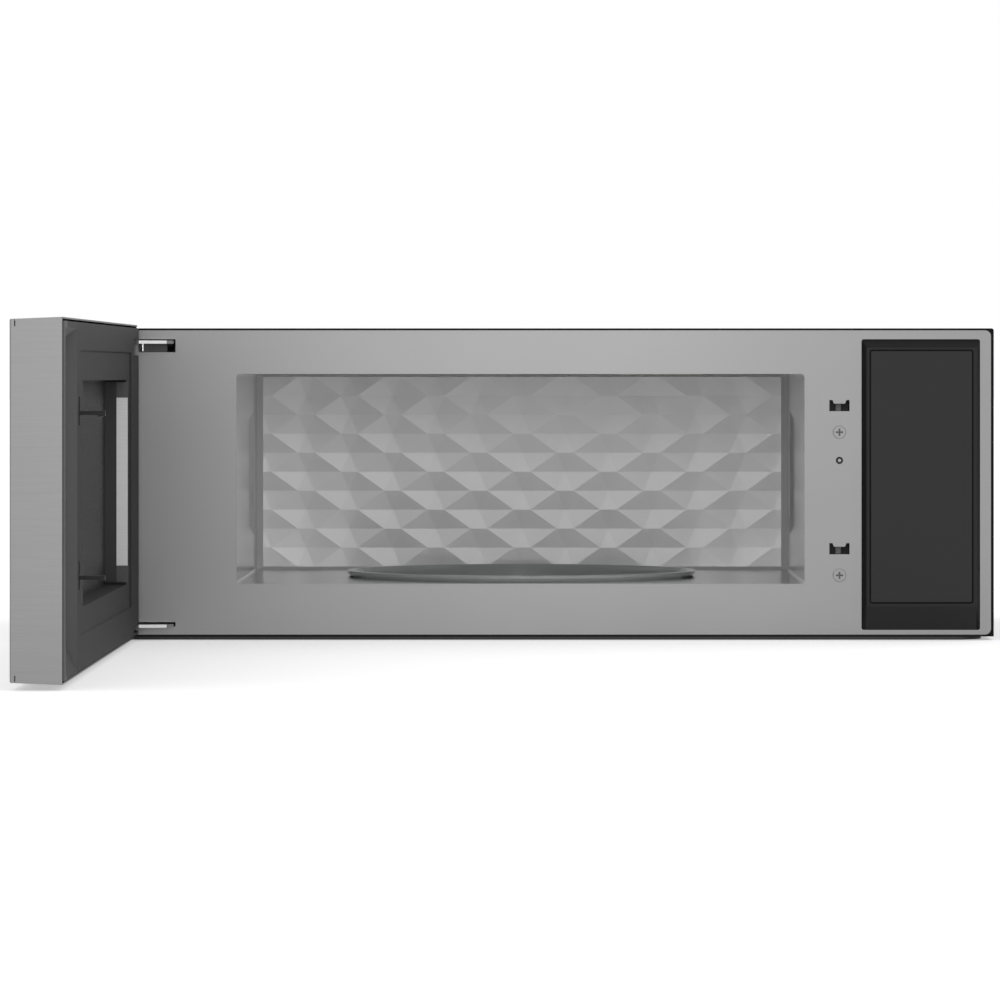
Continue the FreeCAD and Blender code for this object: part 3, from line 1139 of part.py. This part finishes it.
def door_touch_glass():
    return opened(panel_box(TOUCH, DOOR_OUT, DOOR_OUT + GLASS_T))


def door_touch_board():
    rect = inset(TOUCH, GLASS_LEDGE + RUN_FIT)
    return opened(panel_box(rect, DOOR_OUT + GLASS_T, DOOR_OUT + GLASS_T + BOARD_T))


def hinge_pins():
    pins = []
    for z in (hinge.leaf for hinge in HINGES.values()):
        top = z + LEAF_T + POCKET_CLEAR + PIN_SEAT
        foot = z - RUN_FIT - PIN_HEAD_H
        shank = rod(PIVOT_X, PIVOT_Y, foot, PIN_R, top - foot, UP)
        pins.append(one(shank.fuse(rod(PIVOT_X, PIVOT_Y, foot, PIN_HEAD_R, PIN_HEAD_H, UP))))
    return opened(group(pins))


def latch_hooks():
    """Bar behind the door's inner face that carries both hooks."""
    half = HOOK_W / 2
    solids = []
    for z in SLOT_ZS:
        foot = z - SLOT_H / 2 + HOOK_CLEAR
        arm_z = foot + HOOK_BARB
        tip = DOOR_IN + HOOK_REACH
        solids.append(box(LATCH_X - half, BAR_Y0, arm_z, LATCH_X + half, tip, arm_z + HOOK_T))
        solids.append(prismoid(upright(LATCH_X - half, foot, LATCH_X + half, arm_z, tip - BARB_L),
                               upright(LATCH_X - half, arm_z - HOOK_BARB / 2, LATCH_X + half, arm_z, tip)))
    z0 = SLOT_ZS[1] - SLOT_H / 2 + HOOK_CLEAR + HOOK_BARB
    z1 = SLOT_ZS[0] - SLOT_H / 2 + HOOK_CLEAR + HOOK_BARB + HOOK_T
    return opened(one(box(LATCH_X - half, BAR_Y0, z0, LATCH_X + half, BAR_Y1, z1).fuse(solids)))


NODES = {build.__name__: build for build in (
    front_plate, outer_wrap, rear_panel, base_pan, cavity_liner, cavity_back_panel, waveguide_cover,
    waveguide, magnetron, transformer_core, transformer_windings, hv_capacitor, cavity_lamp_lens,
    cavity_lamp, turntable_motor, turntable_shaft, turntable_coupler, glass_tray, roller_ring,
    fan_bulkhead, cooling_fan_blade, cooling_fan_motor, exhaust_collar, exhaust_flap, blower_motor,
    blower_wheels, hood_lamp_lenses, hood_lamps, control_housing, control_panel_cover, control_board,
    latch_bracket, interlock_levers, interlock_switches, front_screws, hinge_screws, sensor_bush,
    sensor_pin, cabinet_bolt_nuts, cord_bushing, casing_screws, door_skin, door_inner_frame,
    door_choke_cover, door_screen, door_inner_window, door_outer_glass, door_touch_glass,
    door_touch_board, hinge_pins, latch_hooks)}
SHAPES = {name: build() for name, build in NODES.items()}
for number in range(ROLLER_COUNT):
    SHAPES["roller_" + str(number + 1)] = roller(number)
for side_name, side in (("left", -1), ("right", 1)):
    SHAPES["blower_housing_" + side_name] = blower_housing(side)
    SHAPES["grease_filter_" + side_name] = grease_filter(side)
for level, hinge in HINGES.items():
    SHAPES[level + "_hinge_bracket"] = hinge_bracket(hinge)

os.makedirs("parts", exist_ok=True)
for name, shape in SHAPES.items():
    shape.exportStep("parts/" + name + ".step")
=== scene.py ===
import bmesh
import bpy
import math
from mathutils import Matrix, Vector


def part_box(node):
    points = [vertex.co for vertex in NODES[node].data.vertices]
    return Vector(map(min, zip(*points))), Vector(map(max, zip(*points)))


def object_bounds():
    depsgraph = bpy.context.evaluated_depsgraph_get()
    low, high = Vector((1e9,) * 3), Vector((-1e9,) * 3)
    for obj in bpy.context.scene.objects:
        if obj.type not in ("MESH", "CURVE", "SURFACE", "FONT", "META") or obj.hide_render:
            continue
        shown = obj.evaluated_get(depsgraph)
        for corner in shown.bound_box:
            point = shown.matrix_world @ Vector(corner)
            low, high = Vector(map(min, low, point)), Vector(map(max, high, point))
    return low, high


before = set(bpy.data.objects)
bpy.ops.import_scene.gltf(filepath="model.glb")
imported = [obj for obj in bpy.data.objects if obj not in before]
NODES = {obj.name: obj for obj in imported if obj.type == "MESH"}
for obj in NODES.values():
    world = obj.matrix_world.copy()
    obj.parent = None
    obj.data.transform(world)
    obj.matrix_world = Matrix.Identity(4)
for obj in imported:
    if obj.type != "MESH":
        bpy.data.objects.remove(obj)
cad_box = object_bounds()

# Finishes and staging of the low-profile over-the-range microwave, in metres.

MM = 0.001
TURN = 2 * math.pi

# Staging: the floor's half width and its drop below the base, its glow to all rays that see it and
# to the camera alone, the sky's share as light, the lamp and the camera.
FLOOR_REACH = 40.0
FLOOR_DROP = 0.5 * MM
FLOOR_GLOW = 0.30
CAMERA_GLOW = 0.1
SKY_LIGHT = 0.8
LAMP_PLACE = (0, -5.1, 0.6)
LAMP_TARGET = (0, -0.1, 0.13)
LAMP_SIZE = (0.3, 1.5)
LAMP_POWER = 11
EYE = (0, -5.233, 0.224)
LENS = 205.0
SENSOR = 36.0
SHIFT = (-0.044, -0.129)
FAR_CLIP = 200


def shade(level):
    """Linear value of a grey level from 0 to 255, by the sRGB curve."""
    return ((level / 255 + 0.055) / 1.055) ** 2.4


def grey(level, warm=0.0):
    """Linear colour of a grey level, a little warmer or cooler."""
    value = shade(level)
    return value * (1 + warm), value, value * (1 - warm), 1.0


class Value:
    """A shader socket with arithmetic: each operation adds its Math node."""

    def __init__(self, finish, socket):
        self.finish = finish
        self.socket = socket

    def math(self, operation, first, second=0.0):
        return self.finish.node("Math", {"operation": operation}, {0: first, 1: second})

    def __add__(self, other):
        return self.math("ADD", self, other)

    def __radd__(self, other):
        return self.math("ADD", other, self)

    def __sub__(self, other):
        return self.math("SUBTRACT", self, other)

    def __rsub__(self, other):
        return self.math("SUBTRACT", other, self)

    def __mul__(self, other):
        return self.math("MULTIPLY", self, other)

    def __rmul__(self, other):
        return self.math("MULTIPLY", other, self)

    def __truediv__(self, other):
        return self.math("DIVIDE", self, other)

    def __gt__(self, other):
        return self.math("GREATER_THAN", self, other)

    def __lt__(self, other):
        return self.math("LESS_THAN", self, other)

    def __abs__(self):
        return self.math("ABSOLUTE", self)

    def wave(self):
        return self.math("SINE", self)

    def fraction(self):
        return self.math("FRACT", self)

    def most(self, other):
        return self.math("MAXIMUM", self, other)


class Nodes:
    """A node tree in the making, around its main shader."""

    def __init__(self, tree, shader):
        self.tree = tree
        self.shader = tree.nodes[shader]

    def node(self, kind, settings, sockets, output=0):
        """Add a node: its settings first, then the values or links of its sockets."""
        made = self.tree.nodes.new("ShaderNode" + kind)
        for name, value in settings.items():
            setattr(made, name, value)
        for name, value in sockets.items():
            self.feed(made.inputs[name], value)
        return Value(self, made.outputs[output])

    def feed(self, socket, value):
        if isinstance(value, Value):
            self.tree.links.new(value.socket, socket)
        else:
            socket.default_value = value

    def set(self, socket, value):
        self.feed(self.shader.inputs[socket], value)

    def mix(self, factor, first, second):
        """A colour between two others: first at 0, second at 1."""
        return self.node("Mix", {"data_type": "RGBA"}, {0: factor, 6: first, 7: second}, 2)

    def ray(self, kind):
        return self.node("LightPath", {}, {}, "Is " + kind + " Ray")

    def seen(self):
        """1 for the camera, reflections and glass, 0 for light that falls on the object."""
        return self.ray("Camera").most(self.ray("Glossy")).most(self.ray("Transmission"))


class Finish(Nodes):
    """A surface material on the object's own coordinates."""

    def __init__(self, name, sockets):
        self.material = bpy.data.materials.new(name)
        self.material.use_nodes = True
        super().__init__(self.material.node_tree, "Principled BSDF")
        self.place = self.node("TexCoord", {}, {}, "Object")
        for socket, value in sockets.items():
            self.set(socket, value)

    def axis(self, letter):
        """One of the object's own coordinates, in metres."""
        return self.node("SeparateXYZ", {}, {0: self.place}, letter)

    def facing(self, letter):
        """How far the surface faces along one of the object's axes, from -1 to 1."""
        direction = self.node("TexCoord", {}, {}, "Normal")
        return self.node("SeparateXYZ", {}, {0: direction}, letter)

    def noise(self, scale, detail=2.0, stretch=(1, 1, 1), roughness=0.5):
        """Noise over the object's coordinates, drawn out where stretch is small."""
        spot = self.node("Mapping", {}, {"Vector": self.place, "Scale": stretch})
        sockets = {"Vector": spot, "Scale": scale, "Detail": detail, "Roughness": roughness}
        return self.node("TexNoise", {}, sockets)

    def cells(self, scale, output="Distance"):
        return self.node("TexVoronoi", {}, {"Vector": self.place, "Scale": scale}, output)

    def ripple(self, letter, pitch):
        """A wave between 0 and 1 along one coordinate."""
        return (self.axis(letter) * (TURN / pitch)).wave() * 0.5 + 0.5

    def smooth(self, value, low, high):
        """0 below low, 1 above high, with a soft step between."""
        sockets = {0: value, 1: low, 2: high, 3: 0.0, 4: 1.0}
        return self.node("MapRange", {"interpolation_type": "SMOOTHSTEP"}, sockets)

    def bump(self, height, distance, strength=1.0):
        """Fine relief, its depth in metres."""
        sockets = {"Height": height, "Distance": distance, "Strength": strength}
        self.set("Normal", self.node("Bump", {}, sockets))


def dress(material, *names):
    """Give CAD nodes their finish."""
    for name in names:
        for slot in NODES[name].material_slots:
            slot.material = material


# Metal finishes

def satin_silver():
    """Silver enamel of the front plate, with a fine metal fleck."""
    f = Finish("satin_silver", {"Metallic": 0.9})
    fleck = f.noise(2600, 1.0)
    cloud = f.noise(7, 3.0)
    f.set("Base Color", f.mix(fleck * 0.5 + cloud * 0.5, grey(132), grey(150)))
    f.set("Roughness", 0.28 + 0.08 * fleck)
    f.bump(fleck, 0.02 * MM, 0.35)
    return f.material


def brushed_steel():
    """Stainless door skin with its grain along the door, and painted shade on the edges that face
    the oven.
    """
    f = Finish("brushed_steel", {"Metallic": 1.0, "Anisotropic": 0.4})
    side_grain = f.noise(60, 4.0, (0.35, 0.05, 26), 0.65)
    top_grain = f.noise(60, 4.0, (26, 0.05, 0.35), 0.65)
    level = abs(f.facing("Z"))
    # Painted shade: edges that face the oven are darkened to grey(24).
    inward_shade = f.smooth(f.facing("X"), 0.5, 0.9)
    grain = side_grain * (1 - level) + top_grain * level
    cloud = f.noise(5, 2.0)
    steel = f.mix(grain * 0.7 + cloud * 0.3, grey(126), grey(148))
    f.set("Base Color", f.mix(inward_shade, steel, grey(24)))
    f.set("Roughness", 0.24 + 0.16 * grain)
    f.bump(grain, 0.02 * MM, 0.4)
    return f.material


def cavity_steel():
    """Oven steel, drawn and lightly brushed."""
    f = Finish("cavity_steel", {"Metallic": 0.85})
    grain = f.noise(70, 4.0, (14, 14, 0.3), 0.6)
    cloud = f.noise(9, 3.0)
    f.set("Base Color", f.mix(grain * 0.6 + cloud * 0.4, grey(214), grey(226)))
    f.set("Roughness", 0.18 + 0.08 * grain)
    f.bump(grain, 0.02 * MM, 0.3)
    return f.material


def lattice_steel():
    """Pressed back panel, satin on its facets and dull on the slanted border, which is also
    painted paler as painted light against its shade.
    """
    f = Finish("lattice_steel", {})
    cloud = f.noise(9, 3.0)
    facet = f.smooth(abs(f.facing("Y")), 0.80, 0.96)
    satin = f.mix(cloud, grey(196), grey(204))
    # Painted light: the slanted border is paler than the facets, to lift the shade that falls on
    # it; its dullness is real.
    dull = f.mix(cloud, grey(216), grey(228))
    f.set("Base Color", f.mix(facet, dull, satin))
    f.set("Metallic", 0.4 * facet)
    f.set("Roughness", 0.55 - 0.22 * facet + 0.03 * cloud)
    return f.material


def galvanised():
    """Zinc-coated sheet with its spangle."""
    f = Finish("galvanised", {"Metallic": 0.95})
    spangle = f.node("SeparateXYZ", {}, {0: f.cells(130, "Color")}, "X")
    speck = f.noise(900, 2.0)
    f.set("Base Color", f.mix(spangle * 0.7 + speck * 0.3, grey(150, -0.02), grey(172, -0.02)))
    f.set("Roughness", 0.30 + 0.22 * spangle)
    f.bump(speck, 0.03 * MM, 0.2)
    return f.material


def chrome():
    """Bright plating of hinge pins, screws, nuts and the turntable's shaft."""
    f = Finish("chrome", {"Metallic": 1.0})
    haze = f.noise(420, 3.0)
    f.set("Base Color", f.mix(haze, grey(196, -0.01), grey(226, -0.01)))
    f.set("Roughness", 0.10 + 0.10 * haze)
    return f.material


def screw_metal():
    """Silver heads of the front screws, duller in the cross and round the foot, and darkened there
    with painted shade.
    """
    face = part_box("front_screws")[0][1]
    f = Finish("screw_metal", {"Metallic": 0.85})
    haze = f.noise(900, 2.0)
    # Painted shade: the cross and the foot of each head, set back from its face, are darkened to
    # grey(104).
    sunk_shade = f.smooth(f.axis("Y"), face + 0.2 * MM, face + 0.6 * MM)
    f.set("Base Color", f.mix(sunk_shade, f.mix(haze, grey(138), grey(156)), grey(104)))
    f.set("Roughness", 0.34 + 0.1 * haze + 0.2 * sunk_shade)
    return f.material


def hinge_metal(name):
    """Hinge bracket, bright plating between the front plate and the door, and painted shade, a
    flat dark grey, where it runs into either.
    """
    plate_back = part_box("front_plate")[1][1]
    door_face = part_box("door_inner_frame")[1][0]
    f = Finish(name + "_metal", {})
    haze = f.noise(420, 3.0)
    # Painted shade: where the bracket runs into the door's pocket and behind the front plate it is
    # a dark grey, not plated.
    clear_of_door = f.smooth(f.axis("X"), door_face, door_face + 1.0 * MM)
    in_plate = f.smooth(f.axis("Y"), plate_back - 2.5 * MM, plate_back)
    bare = clear_of_door * (1 - in_plate)
    slot_and_pocket_shade = f.mix(haze, grey(80), grey(94))
    plating = f.mix(haze, grey(200), grey(228))
    f.set("Base Color", f.mix(bare, slot_and_pocket_shade, plating))
    f.set("Metallic", bare)
    f.set("Roughness", 0.42 - 0.3 * bare + 0.08 * haze)
    return f.material


def magnetron_metal():
    """Warm grey metal of the magnetron, the capacitor and the motors."""
    f = Finish("magnetron_metal", {"Metallic": 0.9})
    haze = f.noise(160, 4.0)
    f.set("Base Color", f.mix(haze, grey(150, 0.06), grey(196, 0.04)))
    f.set("Roughness", 0.28 + 0.2 * haze)
    return f.material


def laminated_iron():
    """Stacked sheets of the transformer's core."""
    f = Finish("laminated_iron", {"Metallic": 0.7})
    sheets = f.ripple("Y", 0.5 * MM)
    rust = f.noise(60, 4.0)
    f.set("Base Color", f.mix(sheets * 0.5 + rust * 0.5, grey(52, 0.08), grey(104, 0.10)))
    f.set("Roughness", 0.45 + 0.2 * rust)
    f.bump(sheets, 0.1 * MM, 0.5)
    return f.material


def copper_winding():
    """Lacquered copper turns."""
    f = Finish("copper_winding", {"Metallic": 0.9, "Coat Roughness": 0.15})
    turns = f.ripple("Z", 1.2 * MM)
    tint = f.noise(80, 2.0)
    f.set("Base Color", f.mix(tint, (0.30, 0.10, 0.035, 1), (0.46, 0.17, 0.06, 1)))
    f.set("Roughness", 0.28 + 0.12 * tint)
    f.set("Coat Weight", 0.3 + 0.2 * tint)
    f.bump(turns, 0.5 * MM, 0.8)
    return f.material


def filter_mesh():
    """Expanded aluminium mesh of the grease filters."""
    f = Finish("filter_mesh", {"Metallic": 0.95})
    per_metre = TURN / (4.0 * MM)
    rising = ((f.axis("X") + f.axis("Y")) * per_metre).wave()
    falling = ((f.axis("X") - f.axis("Y")) * per_metre).wave()
    opening = f.smooth(abs(rising) * abs(falling), 0.05, 0.35)
    film = f.noise(40, 3.0)
    f.set("Base Color", f.mix(opening, grey(176), grey(74)))
    f.set("Roughness", 0.3 + 0.25 * film)
    f.bump(1 - opening, 0.6 * MM, 0.7)
    return f.material


# Paint, plastic and other finishes

def powder_coat(name, specular):
    """Powder coat without its colour yet, and its orange peel."""
    f = Finish(name, {"Specular IOR Level": specular})
    peel = f.noise(700, 3.0)
    f.set("Roughness", 0.46 + 0.14 * peel)
    f.bump(peel, 0.06 * MM, 0.4)
    return f, peel


def black_casing():
    """Black powder coat of the casing."""
    f, _ = powder_coat("black_casing", 0.1)
    f.set("Base Color", f.mix(f.noise(6, 3.0), grey(12), grey(18)))
    return f.material


def pan_paint():
    """Black powder coat of the base pan, grey on the rim under it."""
    f, peel = powder_coat("pan_paint", 0.25)
    upper = f.smooth(f.axis("Z"), -0.5 * MM, -0.1 * MM)
    rim = f.mix(peel, grey(62), grey(74))
    f.set("Base Color", f.mix(upper, rim, f.mix(peel, grey(12), grey(18))))
    return f.material


def grained(name, specular, roughness, grain=1500):
    """Plastic without its colour yet, with a fine spark-eroded grain, and its mottle."""
    f = Finish(name, {"Specular IOR Level": specular})
    spark = f.noise(grain, 2.0)
    cloud = f.noise(11, 3.0)
    f.set("Roughness", roughness + 0.12 * spark)
    f.bump(spark, 0.04 * MM, 0.35)
    return f, cloud * 0.6 + spark * 0.4


def moulded(name, dark, light, roughness, grain=1500):
    """Plain moulded plastic between two colours."""
    f, mottle = grained(name, 0.3, roughness, grain)
    f.set("Base Color", f.mix(mottle, dark, light))
    return f.material


def housing_plastic():
    """Control housing, satin on its rim and foot and darker on its other three slopes, where the
    dark is painted shade.
    """
    (left, _, _), (right, _, top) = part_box("control_housing")
    f, mottle = grained("housing_plastic", 0.14, 0.38)
    # Painted shade: the left, right and top slopes are darkened to grey(20).
    past_left = f.smooth(f.axis("X"), left + 3.0 * MM, left + 4.0 * MM)
    past_right = f.smooth(f.axis("X"), right - 3.9 * MM, right - 2.9 * MM)
    past_top = f.smooth(f.axis("Z"), top - 7.2 * MM, top - 6.4 * MM)
    unshaded = past_left * (1 - past_right) * (1 - past_top)
    f.set("Base Color", f.mix(unshaded, grey(20), f.mix(mottle, grey(40), grey(48))))
    return f.material


def frame_plastic():
    """Inner frame of the door, paler on the slope of the recess at its free end, which is painted
    light.
    """
    free_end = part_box("door_inner_frame")[0][1]
    f, mottle = grained("frame_plastic", 0.2, 0.55)
    flat = f.smooth(f.facing("X"), 0.85, 0.98)
    bottom = flat * f.smooth(f.axis("Y"), free_end + 20.0 * MM, free_end + 30.0 * MM)
    past_recess = f.smooth(f.axis("Y"), free_end + 111.8 * MM, free_end + 112.4 * MM)
    # Painted light: the slope at the free end of the recess is grey(98), much paler than the
    # recess floor.
    recess = f.mix(bottom, grey(98), grey(50))
    f.set("Base Color", f.mix(past_recess, recess, f.mix(mottle, grey(40), grey(46))))
    return f.material


def mica_sheet():
    """Flaky sheet over the waveguide's mouth."""
    f = Finish("mica_sheet", {"Specular IOR Level": 0.6})
    flake = f.cells(190)
    cloud = f.noise(35, 4.0)
    f.set("Base Color", f.mix(flake * 0.4 + cloud * 0.6, grey(150, 0.14), grey(200, 0.12)))
    f.set("Roughness", 0.35 + 0.3 * cloud)
    f.bump(flake, 0.05 * MM, 0.5)
    return f.material


def circuit_board():
    """Green board with pale tracks."""
    f = Finish("circuit_board", {"Specular IOR Level": 0.5})
    lanes = abs((f.axis("Z") * (math.pi / (3.0 * MM))).wave())
    gaps = f.smooth(f.noise(60, 1.0, (1, 1, 5)), 0.45, 0.55)
    track = f.smooth(lanes, 0.80, 0.9) * gaps
    f.set("Base Color", f.mix(track, (0.012, 0.07, 0.03, 1), (0.05, 0.18, 0.08, 1)))
    f.set("Roughness", 0.5 - 0.15 * track)
    f.bump(track, 0.05 * MM, 0.5)
    return f.material


def tray_glass():
    """Pressed glass of the turntable tray."""
    f = Finish("tray_glass", {"Transmission Weight": 0.6, "IOR": 1.5})
    smear = f.noise(24, 3.0)
    f.set("Base Color", f.mix(smear, (0.72, 0.74, 0.74, 1), (0.80, 0.82, 0.82, 1)))
    f.set("Roughness", 0.04 + 0.07 * smear)
    return f.material


def lens_glass():
    """Ribbed lens over a lamp."""
    f = Finish("lens_glass", {"Transmission Weight": 0.85, "IOR": 1.49})
    ribs = f.ripple("X", 3.0 * MM)
    f.set("Base Color", f.mix(ribs, (0.86, 0.86, 0.83, 1), (0.95, 0.95, 0.92, 1)))
    f.set("Roughness", 0.12 + 0.15 * ribs)
    f.bump(ribs, 0.4 * MM, 0.6)
    return f.material


def dark_glass():
    """Smoked glass of the door's outside."""
    f = Finish("dark_glass", {"Coat Roughness": 0.04, "Specular IOR Level": 0.5})
    smear = f.noise(14, 4.0)
    f.set("Base Color", f.mix(smear, grey(13, -0.03), grey(19, -0.03)))
    f.set("Roughness", 0.05 + 0.06 * smear)
    f.set("Coat Weight", 0.4 + 0.2 * smear)
    return f.material


def window_sheet():
    """Dark clear sheet on the oven side of the door's window."""
    f = Finish("window_sheet", {"Specular IOR Level": 0.4})
    smear = f.noise(18, 3.0)
    f.set("Base Color", f.mix(smear, grey(24), grey(31)))
    f.set("Roughness", 0.12 + 0.1 * smear)
    return f.material


def screen_metal():
    """Black perforated screen; on the end of its fold a bare steel band gives a painted
    reflection, and the paint beside it is paler, as painted light.
    """
    (_, _, bottom), (face, end, top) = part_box("door_screen")
    f = Finish("screen_metal", {"Specular IOR Level": 0.35})
    pitch = 2.2 * MM
    row = f.axis("Z") / pitch
    shift = (row * 0.5).fraction() > 0.5
    across = (f.axis("Y") / pitch + shift * 0.5).fraction() - 0.5
    along = row.fraction() - 0.5
    fold = f.axis("Y") > end - 1.0 * MM
    hole = (1 - f.smooth(across * across + along * along, 0.07, 0.11)) * (1 - fold)
    # Painted reflection: bare steel over the middle height of the fold's outer band, where a
    # reflection falls. Painted light: paler paint, grey(92), on the rest of that band.
    lit_strip = fold * (f.axis("X") > face - 9.1 * MM)
    bare = lit_strip * (f.axis("Z") > bottom + 15.6 * MM) * (f.axis("Z") < top - 14.6 * MM)
    grain = f.noise(80, 3.0, (0.4, 1, 20))
    fold_paint_with_light = f.mix(lit_strip, grey(58), grey(92))
    paint = f.mix(hole, f.mix(fold, grey(40), fold_paint_with_light), grey(26))
    steel = f.mix(grain, grey(198), grey(228))
    f.set("Base Color", f.mix(bare, paint, steel))
    f.set("Metallic", 0.6 * bare)
    f.set("Roughness", 0.45 - 0.15 * bare + 0.08 * grain)
    f.bump(1 - hole, 0.4 * MM, 0.4)
    return f.material


dress(satin_silver(), "front_plate", "sensor_pin")
dress(screw_metal(), "front_screws")
dress(brushed_steel(), "door_skin")
dress(black_casing(), "outer_wrap")
dress(pan_paint(), "base_pan")
dress(cavity_steel(), "cavity_liner")
dress(lattice_steel(), "cavity_back_panel")
dress(galvanised(), "rear_panel", "waveguide", "fan_bulkhead", "exhaust_collar", "exhaust_flap",
      "blower_housing_left", "blower_housing_right")
dress(chrome(), "hinge_pins", "hinge_screws", "cabinet_bolt_nuts", "casing_screws",
      "turntable_shaft")
for bracket in ("upper_hinge_bracket", "lower_hinge_bracket"):
    dress(hinge_metal(bracket), bracket)
dress(magnetron_metal(), "magnetron", "hv_capacitor", "turntable_motor", "blower_motor",
      "cooling_fan_motor")
dress(laminated_iron(), "transformer_core")
dress(copper_winding(), "transformer_windings")
dress(filter_mesh(), "grease_filter_left", "grease_filter_right")
dress(mica_sheet(), "waveguide_cover")
dress(circuit_board(), "control_board", "door_touch_board")
dress(tray_glass(), "glass_tray")
dress(lens_glass(), "hood_lamp_lenses", "cavity_lamp_lens")
dress(dark_glass(), "door_outer_glass", "door_touch_glass")
dress(window_sheet(), "door_inner_window")
dress(screen_metal(), "door_screen")
dress(moulded("ivory_plastic", grey(196, 0.02), grey(214, 0.02), 0.42),
      "turntable_coupler", "roller_ring", "roller_1", "roller_2", "roller_3",
      "interlock_switches", "hood_lamps", "cavity_lamp")
dress(frame_plastic(), "door_inner_frame")
dress(moulded("choke_plastic", grey(36), grey(43), 0.60), "door_choke_cover")
dress(housing_plastic(), "control_housing")
dress(moulded("cover_plastic", grey(33), grey(39), 0.40, 900), "control_panel_cover")
dress(moulded("hook_plastic", grey(34), grey(42), 0.42), "latch_hooks")
dress(moulded("lever_plastic", grey(222), grey(234), 0.45), "interlock_levers")
dress(moulded("bracket_plastic", grey(92), grey(104), 0.48), "latch_bracket")
dress(moulded("black_plastic", grey(20), grey(28), 0.48), "cooling_fan_blade", "blower_wheels",
      "sensor_bush", "cord_bushing")


def white_floor():
    """Pale matt floor, a little brighter to the camera and in reflections."""
    sockets = {"Roughness": 1.0, "Specular IOR Level": 0.0, "Emission Strength": 1.0}
    f = Finish("white_floor", sockets)
    patch = f.noise(1.5, 2.0)
    f.set("Base Color", f.mix(patch, (0.89, 0.89, 0.89, 1), (0.91, 0.91, 0.91, 1)))
    f.set("Emission Color", FLOOR_GLOW * f.seen() + CAMERA_GLOW * f.ray("Camera"))
    return f.material


def place_in_scene(name, data):
    """Link a new object with this data."""
    thing = bpy.data.objects.new(name, data)
    bpy.context.scene.collection.objects.link(thing)
    return thing


def floor():
    """Wide floor just under the object's lowest point."""
    shape = bmesh.new()
    bmesh.ops.create_grid(shape, x_segments=1, y_segments=1, size=FLOOR_REACH)
    height = cad_box[0][2] - FLOOR_DROP
    bmesh.ops.translate(shape, verts=shape.verts, vec=(0, 0, height))
    mesh = bpy.data.meshes.new("floor")
    shape.to_mesh(mesh)
    shape.free()
    plane = place_in_scene("floor", mesh)
    mesh.materials.append(white_floor())


def white_world():
    """White all round to the camera and in reflections, and dimmer as light."""
    world = bpy.data.worlds.new("studio")
    world.use_nodes = True
    bpy.context.scene.world = world
    sky = Nodes(world.node_tree, "Background")
    sky.set("Color", (1, 1, 1, 1))
    sky.set("Strength", SKY_LIGHT + (1 - SKY_LIGHT) * sky.seen())


def softbox():
    """Tall soft lamp above the camera."""
    data = bpy.data.lights.new("front", "AREA")
    data.shape = "RECTANGLE"
    data.size, data.size_y = LAMP_SIZE
    data.energy = LAMP_POWER
    lamp = place_in_scene("front", data)
    lamp.location = LAMP_PLACE
    aim = Vector(LAMP_TARGET) - Vector(LAMP_PLACE)
    lamp.rotation_euler = aim.to_track_quat("-Z", "Y").to_euler()


def camera():
    """Long lens at the middle of the oven's front, level, with the frame shifted."""
    data = bpy.data.cameras.new("camera")
    data.sensor_fit = "HORIZONTAL"
    data.sensor_width = SENSOR
    data.lens = LENS
    data.shift_x, data.shift_y = SHIFT
    data.clip_end = FAR_CLIP
    eye = place_in_scene("camera", data)
    eye.location = EYE
    eye.rotation_euler = (math.radians(90), 0, 0)
    bpy.context.scene.camera = eye


floor()
white_world()
softbox()
camera()
bpy.context.scene.view_settings.view_transform = "Standard"
